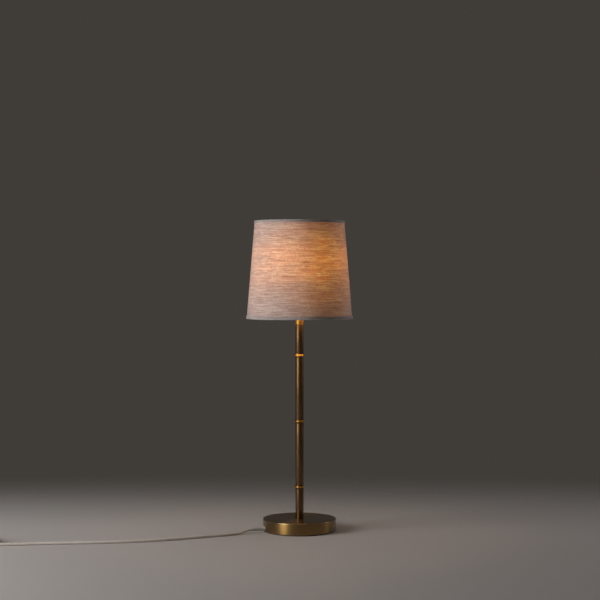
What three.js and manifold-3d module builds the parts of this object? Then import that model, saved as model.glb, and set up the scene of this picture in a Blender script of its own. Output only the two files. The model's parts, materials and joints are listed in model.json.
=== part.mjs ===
// Table lamp: a round weighted brass foot, a ringed tube stem on a threaded rod, a switched lampholder
// with a screw bulb, a tapered linen shade on a wire frame, and a mains lead with a two-pin plug.
// Millimetres, +Z up. The origin is the centre of the foot's underside, on the surface that it stands on.

import * as THREE from "three";
import { mergeVertices } from "three/addons/utils/BufferGeometryUtils.js";
import Module from "manifold-3d";

const wasm = await Module();
wasm.setup();

// Fits
const SEAT_GAP = 0.3; // between two pieces that touch
const RUNNING_GAP = 0.4; // round a piece that turns or slides
const WIRE_GAP = 0.8; // between a terminal's screw hole and its screw, across
const CUT_REACH = 1; // how far a cutting tool goes past the face that it cuts

// Roundness, in sides of a full circle
const LARGE_SIDES = 44;
const MEDIUM_SIDES = 24;
const SMALL_SIDES = 16;
const FINE_SIDES = 10;
const WIRE_SIDES = 6;

// Steps of a curve in a profile or a wire
const FLARE_STEPS = 2;
const CURVE_STEPS = 3;
const DOME_STEPS = 4;
const GLOBE_STEPS = 7;

// Foot
const FOOT_DIAMETER = 140;
const FOOT_HEIGHT = 21.5;
const FOOT_WALL = 1.2;
const FOOT_EDGE_RADIUS = 1;
const FELT_THICKNESS = 2;
const FELT_INSET = 1.2;
const NUT_RECESS_CLEARANCE = 6; // round the washer, for a spanner
const CORE_SPACE = 4.3; // between the felt and the nut, where the lead's cores pass

// Threaded rod and what clamps it
const ROD_DIAMETER = 10;
const ROD_BORE = 7.8;
const ROD_END_LENGTH = 0.8; // below the nut
const ROD_ENGAGEMENT = 7; // length inside the lampholder's neck
const WASHER_DIAMETER = 30;
const WASHER_THICKNESS = 2;
const LOCK_WASHER_DIAMETER = 17.6;
const LOCK_WASHER_THICKNESS = 0.8;
const LOCK_WASHER_TEETH = 8;
const LOCK_NOTCH = { depth: 2, width: 1.6 };
const NUT_WIDTH = 17; // across its corners
const NUT_HEIGHT = 4;

// Stem
const TUBE_DIAMETER = 15.8;
const TUBE_WALL = 1;
const FIRST_SEGMENT = 60.2; // foot to the middle of the first ring
const RING_PITCH = 126;
const RING_COUNT = 3;
const LAST_SEGMENT = 60; // middle of the last ring to the lampholder
const RING_PROUD = 1.45; // bead above the tube's surface
const BEAD_HEIGHT = 4.4;
const FLARE_HEIGHT = 2.2; // hollow curve between the bead and the tube, each side
const FLARE_PROUD = 0.35;
const SPIGOT_LENGTH = 5;

// Lampholder, heights above the stem's top
const NECK_HEIGHT = 9;
const CAP_DIAMETER = 39;
const CAP_WALL = 1.6;
const CAP_FLOOR = 2.2;
const DOME_HEIGHT = 9;
const DOME_LIP = 0.8; // rise of the dome's curve where it leaves the neck
const CAP_HEIGHT = 27;
const INSERT_LEDGE = 1.4;
const INSERT_DEPTH = 3; // length of the insert inside the cap
const INSERT_HEIGHT = 11;
const SKIRT_LIP = 4; // skirt above the screw shell
const SKIRT_CHAMFER = 0.6;
const SKIRT_WALL = 1.9;
const FLANGE_DIAMETER = 47;
const FLANGE_THICKNESS = 2.5;
const FLANGE_RISE = 17; // underside of the skirt's flange above the cap's rim
const LEAD_HOLE_DIAMETER = 8.4;
const GRUB_SCREW_DIAMETER = 2.6;
const GRUB_SCREW_RISE = 4.5;

// Screw shell, contact and terminals
const SHELL_WALL = 0.6;
const CONTACT_STRIP = { width: 5, thickness: 0.5, rise: 1.1, reach: 9 };
const TERMINAL = { width: 5, height: 6, clearance: 1.4 }; // clearance: screw head to the cap's wall
const TERMINAL_SCREW = { diameter: 1.6, head: 3.6, headHeight: 1.5, length: 4.2 };

// Push-bar switch
const BAR_DIAMETER = 4;
const BAR_TRAVEL = 6;
const BAR_BUTTON = { diameter: 6.4, length: 4, chamfer: 0.6, stopGap: 0.5 };
const SWITCH_BLOCK = { length: 16, width: 11, height: 7.9 };

// Shade ring
const SHADE_RING = { flange: 54, flangeHeight: 2, grip: 46, height: 6 };
const GRIP_NOTCH = { count: 12, width: 3, depth: 1.2 };

// Bulb, heights above its tip
const BULB_DIAMETER = 60;
const BULB_LENGTH = 107;
const GLASS_WALL = 1;
const THREAD_CREST = 26.2;
const THREAD_ROOT = 24.6;
const THREAD_PITCH = 3.63;
const THREAD_TURNS = 4;
const CAP_TIN = 0.6; // sheet of the bulb's cap
const BULB_TIP = { diameter: 9.6, height: 1.7, bevel: 1.3, bevelHeight: 0.9 };
const BULB_INSULATOR = { low: 12, high: 22.4, height: 4.2, edge: 0.6 };
const COLLAR = { diameter: 27.8, rise: 2.5, height: 3.5 }; // rise: from the thread's end
const GLASS_SHOULDER = Math.PI / 5; // below the bulb's equator, where the round ends
const GLASS_THROAT = { height: 3, flare: 1, drop: 12 }; // the curve from the round to the neck
const BULB_MOUNT = { flare: 1.5, cone: 2, stem: 6, height: 27 };
const FILAMENT = { wire: 1, foot: 6, span: 9, height: 70, lift: 1.6 };

// Shade, over its trims
const SHADE_BOTTOM_DIAMETER = 204;
const SHADE_TOP_DIAMETER = 173.5;
const SHADE_HEIGHT = 187;
const FABRIC_THICKNESS = 0.8;
const LINER_THICKNESS = 0.6;
const TRIM_THICKNESS = 0.7;
const BOTTOM_TRIM_HEIGHT = 6;
const TOP_TRIM_HEIGHT = 5;
const WIRE_DIAMETER = 3;
const SEAM_WIDTH = 9;
const SEAM_PROUD = 0.5;
const FITTER = { margin: 4, thickness: 1.5, rise: 36.8, arms: 3 }; // margin: beyond the ring's flange
const ARM = { shoulder: 10, curve: 14, control: 9, inset: 18, level: 5 }; // its bend off the wall

// Mains lead
const LEAD_DIAMETER = 5.2;
const CORE_DIAMETER = 2;
const CORE_SPACING = 2.4;
const EXIT_AZIMUTH = THREE.MathUtils.degToRad(199);
const SILL = 1.3; // metal under the hole in the foot's wall
const SHEATH_END = 46; // from the axis
const RELIEF = { barrel: 0.9, flange: 1.8, root: 1.1, tip: 0.6, flangeWidth: 1.7, length: 22 }; // walls
const CORE_BEND = 4;
const CORE_START = { length: 6, drop: 0.4, level: 8 }; // the cores' fall from the sheath to the felt
// The cores' way from the rod's mouth to the terminals: shares of the way outwards, and upwards
const CORE_FAN = [
  [0, 0],
  [0.04, 0.18],
  [0.32, 0.43],
  [0.72, 0.54],
  [0.97, 0.74],
  [1, 1],
];
const REST_GAP = 0.2; // between the lead and the surface that it lies on

// The route of the free lead over the surface, from the strain relief to the coil, as X, Y and the lift
// of the lead off the surface. Its two ends come from the relief and the coil.
const LEAD_ROUTE = [
  [-93, -32.02, 4.25],
  [-97.6, -34.6, 3.4],
  [-102.6, -39.4, 2.1],
  [-108.5, -46, 0.8],
  [-116, -52, 0.1],
  [-125.6, -57.8, 0],
  [-143.8, -67.7, 0],
  [-163.6, -77.2, 0],
  [-190.7, -90.7, 0],
  [-220.8, -105.8, 0],
  [-252.9, -119.3, 0],
  [-289, -130.8, 0],
  [-331.2, -140.4, 0],
  [-376.3, -147.4, 0],
  [-421.5, -152.4, 0],
  [-466.7, -157.4, 0],
  [-509.8, -163.7, 0],
  [-546.9, -169.3, 0],
  [-570, -171.3, 0.5],
  [-584, -171.5, 1],
];

// Coil of the rest of the lead, with its tie
const COIL_ENTRY = { x: -600, y: -171.5 };
const COIL_RADIUS = 39.5; // middle of the outer loop
const COIL_TURNS = 6.25;
const COIL_GAP = 0.55; // between neighbouring loops
const COIL_START = THREE.MathUtils.degToRad(270);
const LOOP_STEPS = 24;
const LEAD_SIDES = 8; // of the run and the tail, and the coil has WIRE_SIDES
const RUN_STEP = 2.4; // in lead diameters
const TAIL_STEPS = 10;
const TIE = { width: 8, thickness: 0.8, gap: 0.5, azimuth: 0 };

// Plug
const PLUG = { length: 36, width: 34, rear: 14, thickness: 13.7, neck: 14, bevel: 2, shoulder: 0.45 };
const PIN = { diameter: 4, length: 19, spacing: 18.6, root: 6, nose: 1.4, tip: 2 }; // tip: across
const TAIL_LENGTH = 50;
const TAIL_STRAIGHT = 4;
// Shares of the tail's length, and its height there as a share of the upper loop's height
const TAIL_SAG = [
  [0.2, 0.97],
  [0.5, 0.42],
  [0.78, 0.55],
];

// Places that follow from the sizes
const FOOT_TOP = FELT_THICKNESS + FOOT_HEIGHT;
const NUT_LOW = FELT_THICKNESS + CORE_SPACE;
const NUT_TOP = NUT_LOW + NUT_HEIGHT;
const LOCK_WASHER_LOW = NUT_TOP + SEAT_GAP;
const LOCK_WASHER_TOP = LOCK_WASHER_LOW + LOCK_WASHER_THICKNESS;
const WASHER_LOW = LOCK_WASHER_TOP + SEAT_GAP;
const WASHER_TOP = WASHER_LOW + WASHER_THICKNESS;
const STEM_TOP = FOOT_TOP + FIRST_SEGMENT + RING_PITCH * (RING_COUNT - 1) + LAST_SEGMENT;
const ROD_HOLE = ROD_DIAMETER + 2 * SEAT_GAP;
const SPIGOT_DIAMETER = TUBE_DIAMETER - 2 * TUBE_WALL - 2 * SEAT_GAP;
const CAP_BORE = CAP_DIAMETER - 2 * CAP_WALL - 2 * SEAT_GAP;
const LEDGE_RADIUS = CAP_BORE / 2 - INSERT_LEDGE;
const INSERT_START = CAP_HEIGHT - INSERT_DEPTH;
const INSERT_TOP = INSERT_START + INSERT_HEIGHT;
const SKIRT_START = CAP_HEIGHT + SEAT_GAP;
const FLANGE_TOP = CAP_HEIGHT + FLANGE_RISE + FLANGE_THICKNESS;
const BULB_CAP_START = BULB_TIP.height + BULB_INSULATOR.height + 2 * SEAT_GAP;
const THREAD_END = BULB_CAP_START + THREAD_TURNS * THREAD_PITCH;
const COLLAR_START = THREAD_END + COLLAR.rise;
const COLLAR_END = COLLAR_START + COLLAR.height;
const NECK_GLASS_DIAMETER = COLLAR.diameter - 2 * CAP_TIN - 2 * SEAT_GAP;
const NECK_GLASS_START = COLLAR_START + CAP_TIN + SEAT_GAP;
const SHELL_BORE = THREAD_CREST + 2 * RUNNING_GAP;
const BULB_SEAT = INSERT_TOP + SEAT_GAP + CONTACT_STRIP.rise + SEAT_GAP;
const SHELL_TOP = BULB_SEAT + THREAD_END;
const SWITCH_BLOCK_TOP = INSERT_START - SEAT_GAP;
const BAR_RISE = SWITCH_BLOCK_TOP - SWITCH_BLOCK.height / 2;
const SCREW_HEAD_REACH = LEDGE_RADIUS - TERMINAL.clearance - TERMINAL_SCREW.headHeight;
const TERMINAL_REACH = SCREW_HEAD_REACH - SEAT_GAP - TERMINAL.width / 2;
const SHADE_BASE = STEM_TOP + FLANGE_TOP + SEAT_GAP - FITTER.rise;
const FITTER_RADIUS = SHADE_RING.flange / 2 + FITTER.margin;
const LEAD_RADIUS = LEAD_DIAMETER / 2;
const LEAD_REST = LEAD_RADIUS + REST_GAP;
const RELIEF_BARREL = LEAD_RADIUS + RELIEF.barrel;
const RELIEF_FLANGE = LEAD_RADIUS + RELIEF.flange;
const RELIEF_END = FOOT_DIAMETER / 2 + SEAT_GAP + RELIEF.flangeWidth + RELIEF.length;
const EXIT_HEIGHT = FELT_THICKNESS + SILL + SEAT_GAP + RELIEF_BARREL;
const COIL_PITCH = LEAD_DIAMETER + COIL_GAP;
const COIL_HEIGHT = LEAD_REST + TIE.gap + TIE.thickness;
const COIL_CENTRE = { x: COIL_ENTRY.x, y: COIL_ENTRY.y + COIL_RADIUS };

// Finishes
function finish(color, roughness, metalness) {
  return new THREE.MeshStandardMaterial({ color, roughness, metalness });
}
const AGED_BRASS = finish(0x8a6736, 0.34, 1);
const BRIGHT_BRASS = finish(0xc79a4b, 0.22, 1);
const PLAIN_BRASS = finish(0xb08d4f, 0.35, 1);
const CAST_IRON = finish(0x3b3a39, 0.8, 0.6);
const ZINC_STEEL = finish(0xa3a6a8, 0.4, 1);
const DARK_FELT = finish(0x1d1a18, 0.98, 0);
const BLACK_PHENOLIC = finish(0x17130f, 0.35, 0);
const BROWN_CORE = finish(0x5a3420, 0.5, 0);
const BLUE_CORE = finish(0x27539b, 0.5, 0);
const PALE_SHEATH = finish(0xb9b0a4, 0.35, 0);
const LINEN = finish(0xb99a84, 0.9, 0);
const LINEN_TRIM = finish(0x9a8273, 0.9, 0);
const WHITE_LINER = finish(0xf2e8d8, 0.5, 0);
const WHITE_ENAMEL = finish(0xe9e4da, 0.35, 0);
const OPAL_GLASS = finish(0xfff1d6, 0.25, 0);
const CLEAR_GLASS = finish(0xdfe6e6, 0.1, 0);
const NICKEL = finish(0xb9b4a8, 0.3, 1);
const BLACK_GLASS = finish(0x121214, 0.15, 0);
const TUNGSTEN = finish(0x6b6660, 0.5, 1);
const TIE_FABRIC = finish(0x24221f, 0.9, 0);

// A closed three.js geometry as a solid that can be cut and joined
function solid(geometry) {
  const bare = geometry.index ? geometry.toNonIndexed() : geometry.clone();
  bare.deleteAttribute("normal");
  bare.deleteAttribute("uv");
  const merged = mergeVertices(bare, 1e-4);
  const vertProperties = merged.attributes.position.array;
  const triVerts = new Uint32Array(merged.index.array);
  return new wasm.Manifold(new wasm.Mesh({ numProp: 3, vertProperties, triVerts }));
}

// A solid back as a three.js geometry
function geometryOf(body) {
  const mesh = body.getMesh();
  const geometry = new THREE.BufferGeometry();
  geometry.setAttribute("position", new THREE.BufferAttribute(mesh.vertProperties, 3));
  geometry.setIndex(new THREE.BufferAttribute(mesh.triVerts, 1));
  geometry.computeVertexNormals();
  return geometry;
}

function cut(body, ...tools) {
  return geometryOf(tools.reduce((left, tool) => left.subtract(solid(tool)), solid(body)));
}

function join(...pieces) {
  return geometryOf(pieces.map(solid).reduce((whole, piece) => whole.add(piece)));
}

// A turned solid about Z. The profile lists radius and height, and runs outwards along the bottom,
// up the outside and back in, from the axis to the axis.
function turned(profile, sides) {
  const points = profile.map(([radius, height]) => new THREE.Vector2(radius, height));
  return new THREE.LatheGeometry(points, sides).rotateX(Math.PI / 2);
}

// A turned solid with a hole along the axis: the profile runs the same way round and is closed here
function turnedRing(profile, sides) {
  return turned([...profile, profile[0]], sides);
}

function disc(diameter, low, high, sides = SMALL_SIDES) {
  const radius = diameter / 2;
  return turned([[0, low], [radius, low], [radius, high], [0, high]], sides);
}

function tube(bore, diameter, low, high, sides = SMALL_SIDES) {
  const inner = bore / 2;
  const outer = diameter / 2;
  return turnedRing([[inner, low], [outer, low], [outer, high], [inner, high]], sides);
}

function block(length, width, low, high) {
  return new THREE.BoxGeometry(length, width, high - low).translate(0, 0, (low + high) / 2);
}

// Lays a solid turned about Z along X, with its low end nearest the axis
function alongX(geometry) {
  return geometry.rotateY(Math.PI / 2);
}

// Points on a quadratic curve in the profile plane, its two ends included
function bend(start, control, end, steps) {
  const corners = [start, control, end].map(([radius, height]) => new THREE.Vector2(radius, height));
  return new THREE.QuadraticBezierCurve(...corners).getPoints(steps).map(({ x, y }) => [x, y]);
}

// A path whose steps fall on its own points: a straight run takes one step and a bend takes several
class SteppedPath extends THREE.Curve {
  constructor(points) {
    super();
    this.points = points.map(([x, y, z]) => new THREE.Vector3(x, y, z));
  }

  get steps() {
    return this.points.length - 1;
  }

  getPoint(t, target = new THREE.Vector3()) {
    const place = THREE.MathUtils.clamp(t, 0, 1) * this.steps;
    const index = Math.min(Math.floor(place), this.steps - 1);
    return target.lerpVectors(this.points[index], this.points[index + 1], place - index);
  }

  getTangent(t, target = new THREE.Vector3()) {
    const index = Math.round(t * this.steps);
    const before = this.points[Math.max(index - 1, 0)];
    const here = this.points[index];
    const after = this.points[Math.min(index + 1, this.steps)];
    const arriving = here.clone().sub(before).normalize();
    const leaving = after.clone().sub(here).normalize();
    return target.addVectors(arriving, leaving).normalize();
  }

  getUtoTmapping(u) {
    return u;
  }
}

// A round wire, lead or tube along a path
function swept(path, diameter, sides, steps) {
  const corners = Array.from({ length: sides }, (_, side) => {
    const angle = (2 * Math.PI * side) / sides;
    return new THREE.Vector2(Math.cos(angle), Math.sin(angle)).multiplyScalar(diameter / 2);
  });
  return new THREE.ExtrudeGeometry(new THREE.Shape(corners), { steps, extrudePath: path });
}

function sweptPoints(points, diameter, sides) {
  const path = new SteppedPath(points);
  return swept(path, diameter, sides, path.steps);
}

function add(group, name, geometry, material) {
  const mesh = new THREE.Mesh(geometry, material);
  mesh.name = name;
  group.add(mesh);
  return mesh;
}

// The foot: a spun cup over an iron weight, clamped by the rod's nut and closed by felt
function makeFoot() {
  const foot = new THREE.Group();
  const outer = FOOT_DIAMETER / 2;
  const inner = outer - FOOT_WALL;
  const low = FELT_THICKNESS;
  const ceiling = FOOT_TOP - FOOT_WALL;
  const edge = FOOT_EDGE_RADIUS;
  const shell = turnedRing(
    [
      [inner, low],
      [outer, low],
      ...bend([outer, FOOT_TOP - edge], [outer, FOOT_TOP], [outer - edge, FOOT_TOP], CURVE_STEPS),
      [ROD_HOLE / 2, FOOT_TOP],
      [ROD_HOLE / 2, ceiling],
      [inner, ceiling],
    ],
    LARGE_SIDES,
  );
  const holeDiameter = 2 * (RELIEF_BARREL + SEAT_GAP);
  const leadHole = alongX(disc(holeDiameter, inner - CUT_REACH, outer + CUT_REACH))
    .translate(0, 0, EXIT_HEIGHT)
    .rotateZ(EXIT_AZIMUTH);
  add(foot, "base_shell", cut(shell, leadHole), AGED_BRASS);

  const weight = tube(ROD_HOLE, 2 * (inner - SEAT_GAP), low, ceiling - SEAT_GAP, LARGE_SIDES);
  const recessDiameter = WASHER_DIAMETER + 2 * NUT_RECESS_CLEARANCE;
  const recess = disc(recessDiameter, low - CUT_REACH, WASHER_TOP + SEAT_GAP, MEDIUM_SIDES);
  const channelHalf = RELIEF_FLANGE + SEAT_GAP;
  const channel = block(FOOT_DIAMETER, 2 * channelHalf, low - CUT_REACH, EXIT_HEIGHT + channelHalf)
    .translate(FOOT_DIAMETER / 2, 0, 0)
    .rotateZ(EXIT_AZIMUTH);
  add(foot, "base_weight", cut(weight, recess, channel), CAST_IRON);

  const felt = disc(FOOT_DIAMETER - 2 * FELT_INSET, 0, low - SEAT_GAP, LARGE_SIDES);
  add(foot, "base_felt", felt, DARK_FELT);
  return foot;
}

// The rod through the foot and the stem, with the nut and washers under the weight
function makeRod() {
  const rod = new THREE.Group();
  const rodTop = STEM_TOP + ROD_ENGAGEMENT;
  const rodLow = NUT_LOW - ROD_END_LENGTH;
  add(rod, "threaded_rod", tube(ROD_BORE, ROD_DIAMETER, rodLow, rodTop), ZINC_STEEL);
  add(rod, "rod_washer", tube(ROD_HOLE, WASHER_DIAMETER, WASHER_LOW, WASHER_TOP), ZINC_STEEL);

  const { depth, width } = LOCK_NOTCH;
  const notches = Array.from({ length: LOCK_WASHER_TEETH }, (_, tooth) => {
    const angle = (2 * Math.PI * tooth) / LOCK_WASHER_TEETH;
    return block(depth, width, LOCK_WASHER_LOW - CUT_REACH, LOCK_WASHER_TOP + CUT_REACH)
      .translate(LOCK_WASHER_DIAMETER / 2, 0, 0)
      .rotateZ(angle);
  });
  const lockBlank = tube(ROD_HOLE, LOCK_WASHER_DIAMETER, LOCK_WASHER_LOW, LOCK_WASHER_TOP);
  add(rod, "lock_washer", cut(lockBlank, ...notches), ZINC_STEEL);

  const hexagon = disc(NUT_WIDTH, NUT_LOW, NUT_TOP, 6);
  const thread = disc(ROD_HOLE, NUT_LOW - CUT_REACH, NUT_TOP + CUT_REACH);
  add(rod, "rod_nut", cut(hexagon, thread), ZINC_STEEL);
  return rod;
}

// One turned ring between two tubes, with a spigot into each
function nodeRing() {
  const bore = ROD_HOLE / 2;
  const spigot = SPIGOT_DIAMETER / 2;
  const tubeRadius = TUBE_DIAMETER / 2;
  const bead = BEAD_HEIGHT / 2;
  const shoulder = bead + FLARE_HEIGHT;
  const flareFoot = tubeRadius + FLARE_PROUD;
  const crest = tubeRadius + RING_PROUD;
  const lowFlare = bend([tubeRadius, -shoulder], [tubeRadius, -bead], [flareFoot, -bead], FLARE_STEPS);
  const round = bend([flareFoot, -bead], [2 * crest - flareFoot, 0], [flareFoot, bead], DOME_STEPS);
  const highFlare = bend([flareFoot, bead], [tubeRadius, bead], [tubeRadius, shoulder], FLARE_STEPS);
  return turnedRing(
    [
      [bore, -shoulder - SPIGOT_LENGTH],
      [spigot, -shoulder - SPIGOT_LENGTH],
      [spigot, -shoulder],
      ...lowFlare,
      ...round.slice(1),
      ...highFlare.slice(1),
      [spigot, shoulder],
      [spigot, shoulder + SPIGOT_LENGTH],
      [bore, shoulder + SPIGOT_LENGTH],
    ],
    SMALL_SIDES,
  );
}

// The stem: tubes threaded on the rod, with a ring at each joint
function makeStem() {
  const stem = new THREE.Group();
  const reach = BEAD_HEIGHT / 2 + FLARE_HEIGHT + SEAT_GAP;
  const tubeBore = TUBE_DIAMETER - 2 * TUBE_WALL;
  const ringHeights = [];
  for (let ring = 0; ring < RING_COUNT; ring += 1) {
    ringHeights.push(FOOT_TOP + FIRST_SEGMENT + ring * RING_PITCH);
    const mesh = add(stem, `node_ring_${ring + 1}`, nodeRing(), BRIGHT_BRASS);
    mesh.position.z = ringHeights[ring];
  }
  const starts = [FOOT_TOP + SEAT_GAP, ...ringHeights.map((height) => height + reach)];
  const ends = [...ringHeights.map((height) => height - reach), STEM_TOP - SEAT_GAP];
  starts.forEach((start, index) => {
    const length = tube(tubeBore, TUBE_DIAMETER, start, ends[index]);
    add(stem, `stem_tube_${index + 1}`, length, AGED_BRASS);
  });
  const bush = tube(ROD_HOLE, SPIGOT_DIAMETER, FOOT_TOP + SEAT_GAP, FOOT_TOP + SPIGOT_LENGTH);
  add(stem, "foot_bush", bush, PLAIN_BRASS);
  return stem;
}

// The lampholder's domed cap, whose neck screws on the rod
function holderCap() {
  const outer = CAP_DIAMETER / 2;
  const ledge = LEDGE_RADIUS;
  const neck = TUBE_DIAMETER / 2;
  const passage = LEAD_HOLE_DIAMETER / 2;
  const bore = ROD_HOLE / 2;
  const bowlFloor = NECK_HEIGHT + CAP_FLOOR;
  const rodEnd = ROD_ENGAGEMENT + SEAT_GAP;
  const domeTop = NECK_HEIGHT + DOME_HEIGHT;
  const blank = turnedRing(
    [
      [bore, -SPIGOT_LENGTH],
      [SPIGOT_DIAMETER / 2, -SPIGOT_LENGTH],
      [SPIGOT_DIAMETER / 2, 0],
      [neck, 0],
      ...bend([neck, NECK_HEIGHT], [outer, NECK_HEIGHT + DOME_LIP], [outer, domeTop], DOME_STEPS),
      [outer, CAP_HEIGHT],
      [CAP_BORE / 2, CAP_HEIGHT],
      [CAP_BORE / 2, INSERT_START - SEAT_GAP],
      [ledge, INSERT_START - SEAT_GAP],
      ...bend([ledge, domeTop + DOME_LIP], [ledge, bowlFloor + DOME_LIP], [passage, bowlFloor], CURVE_STEPS),
      [passage, rodEnd],
      [bore, rodEnd],
    ],
    MEDIUM_SIDES,
  );
  const barReach = outer + CUT_REACH;
  const barHole = alongX(disc(BAR_DIAMETER + 2 * RUNNING_GAP, -barReach, barReach))
    .translate(0, 0, BAR_RISE);
  const grubDiameter = GRUB_SCREW_DIAMETER + 2 * SEAT_GAP;
  const grubHole = alongX(disc(grubDiameter, bore - CUT_REACH, neck + CUT_REACH, FINE_SIDES))
    .translate(0, 0, GRUB_SCREW_RISE)
    .rotateZ(Math.PI / 2);
  return cut(blank, barHole, grubHole);
}

// The threaded skirt round the screw shell, with the flange that carries the shade
function holderSkirt() {
  const outer = CAP_DIAMETER / 2;
  const inner = outer - SKIRT_WALL;
  const top = SHELL_TOP + SKIRT_LIP;
  return turnedRing(
    [
      [inner, SKIRT_START],
      [outer, SKIRT_START],
      [outer, FLANGE_TOP - FLANGE_THICKNESS],
      [FLANGE_DIAMETER / 2, FLANGE_TOP - FLANGE_THICKNESS],
      [FLANGE_DIAMETER / 2, FLANGE_TOP],
      [outer, FLANGE_TOP],
      [outer, top - SKIRT_CHAMFER],
      [outer - SKIRT_CHAMFER, top],
      [inner, top],
    ],
    MEDIUM_SIDES,
  );
}

// The spring strip that touches the bulb's tip: flat at its foot, then rising to the middle
function centreContact() {
  const { width, thickness, rise, reach } = CONTACT_STRIP;
  const low = INSERT_TOP + SEAT_GAP;
  const high = low + rise;
  const outline = new THREE.Shape([
    new THREE.Vector2(-reach, low),
    new THREE.Vector2(-reach / 2, low),
    new THREE.Vector2(-reach / 4, high - thickness),
    new THREE.Vector2(reach / 4, high - thickness),
    new THREE.Vector2(reach / 4, high),
    new THREE.Vector2(-reach / 4, high),
    new THREE.Vector2(-reach / 2, low + thickness),
    new THREE.Vector2(-reach, low + thickness),
  ]);
  return new THREE.ExtrudeGeometry(outline, { depth: width, bevelEnabled: false })
    .rotateX(Math.PI / 2)
    .translate(0, width / 2, 0);
}

// The two terminals that hang under the insert, each with a clamping screw from outside
function makeTerminals() {
  const terminals = new THREE.Group();
  terminals.rotation.z = EXIT_AZIMUTH;
  const { width, height } = TERMINAL;
  const reach = TERMINAL_REACH;
  const top = INSERT_START - SEAT_GAP;
  const middle = top - height / 2;
  const outside = reach + width / 2;
  const headEnd = SCREW_HEAD_REACH + TERMINAL_SCREW.headHeight;
  [["live", 1], ["neutral", -1]].forEach(([name, side]) => {
    const outward = (side * Math.PI) / 2;
    const boreDiameter = TERMINAL_SCREW.diameter + WIRE_GAP;
    const bore = alongX(disc(boreDiameter, reach - CUT_REACH, outside + CUT_REACH, FINE_SIDES));
    const body = cut(
      block(width, width, top - height, top).translate(reach, 0, 0),
      bore.translate(0, 0, middle),
    );
    const head = disc(TERMINAL_SCREW.head, SCREW_HEAD_REACH, headEnd, FINE_SIDES);
    const shankStart = headEnd - TERMINAL_SCREW.length;
    const shankEnd = SCREW_HEAD_REACH + TERMINAL_SCREW.headHeight / 2;
    const shank = disc(TERMINAL_SCREW.diameter, shankStart, shankEnd, FINE_SIDES);
    const screw = alongX(join(head, shank)).translate(0, 0, middle);
    add(terminals, `terminal_${name}`, body.rotateZ(outward), PLAIN_BRASS);
    add(terminals, `terminal_screw_${name}`, screw.rotateZ(outward), ZINC_STEEL);
  });
  return terminals;
}

// The switch: a bar through the cap, in a block under the insert. It is at its left stop, switched on.
function makeSwitch() {
  const pushSwitch = new THREE.Group();
  const { length, width, height } = SWITCH_BLOCK;
  const housing = block(length, width, SWITCH_BLOCK_TOP - height, SWITCH_BLOCK_TOP);
  const slot = alongX(disc(BAR_DIAMETER + 2 * RUNNING_GAP, -length, length)).translate(0, 0, BAR_RISE);
  add(pushSwitch, "switch_block", cut(housing, slot), BLACK_PHENOLIC);

  const wall = CAP_DIAMETER / 2 + BAR_BUTTON.stopGap;
  const button = BAR_BUTTON.diameter / 2;
  const rod = BAR_DIAMETER / 2;
  const left = -wall - BAR_TRAVEL;
  const leftEnd = left - BAR_BUTTON.length;
  const rightEnd = wall + BAR_BUTTON.length;
  const chamfer = BAR_BUTTON.chamfer;
  const bar = turned(
    [
      [0, leftEnd],
      [button - chamfer, leftEnd],
      [button, leftEnd + chamfer],
      [button, left],
      [rod, left],
      [rod, wall],
      [button, wall],
      [button, rightEnd - chamfer],
      [button - chamfer, rightEnd],
      [0, rightEnd],
    ],
    SMALL_SIDES,
  );
  const barMesh = add(pushSwitch, "switch_bar", alongX(bar), BRIGHT_BRASS);
  barMesh.position.z = BAR_RISE;
  return pushSwitch;
}

// The ring that clamps the shade's fitter down on the flange, notched for the fingers
function shadeRing() {
  const low = FLANGE_TOP + FITTER.thickness + 2 * SEAT_GAP;
  const bore = CAP_DIAMETER / 2 + RUNNING_GAP;
  const grip = SHADE_RING.grip / 2;
  const flange = SHADE_RING.flange / 2;
  const blank = turnedRing(
    [
      [bore, low],
      [flange, low],
      [flange, low + SHADE_RING.flangeHeight],
      [grip, low + SHADE_RING.flangeHeight],
      [grip, low + SHADE_RING.height],
      [bore, low + SHADE_RING.height],
    ],
    MEDIUM_SIDES,
  );
  const { count, width, depth } = GRIP_NOTCH;
  const notches = Array.from({ length: count }, (_, notch) => {
    const angle = (2 * Math.PI * (notch + 0.5)) / count;
    return block(2 * depth, width, low + SHADE_RING.flangeHeight, low + SHADE_RING.height + CUT_REACH)
      .translate(grip, 0, 0)
      .rotateZ(angle);
  });
  return cut(blank, ...notches);
}

function makeHolder() {
  const holder = new THREE.Group();
  holder.position.z = STEM_TOP;
  add(holder, "holder_cap", holderCap(), BRIGHT_BRASS);
  const tip = ROD_DIAMETER / 2 + SEAT_GAP;
  const grubScrew = alongX(disc(GRUB_SCREW_DIAMETER, tip, TUBE_DIAMETER / 2, FINE_SIDES))
    .translate(0, 0, GRUB_SCREW_RISE)
    .rotateZ(Math.PI / 2);
  add(holder, "holder_grub_screw", grubScrew, ZINC_STEEL);
  add(holder, "holder_skirt", holderSkirt(), BLACK_PHENOLIC);

  const insert = disc(CAP_BORE - 2 * SEAT_GAP, INSERT_START, INSERT_TOP, MEDIUM_SIDES);
  add(holder, "holder_insert", insert, WHITE_ENAMEL);
  const shellLow = INSERT_TOP + SEAT_GAP;
  const shell = tube(SHELL_BORE, SHELL_BORE + 2 * SHELL_WALL, shellLow, SHELL_TOP, MEDIUM_SIDES);
  add(holder, "screw_shell", shell, PLAIN_BRASS);
  add(holder, "centre_contact", centreContact(), PLAIN_BRASS);
  add(holder, "shade_ring", shadeRing(), BLACK_PHENOLIC);
  holder.add(makeTerminals(), makeSwitch());
  return holder;
}

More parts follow.
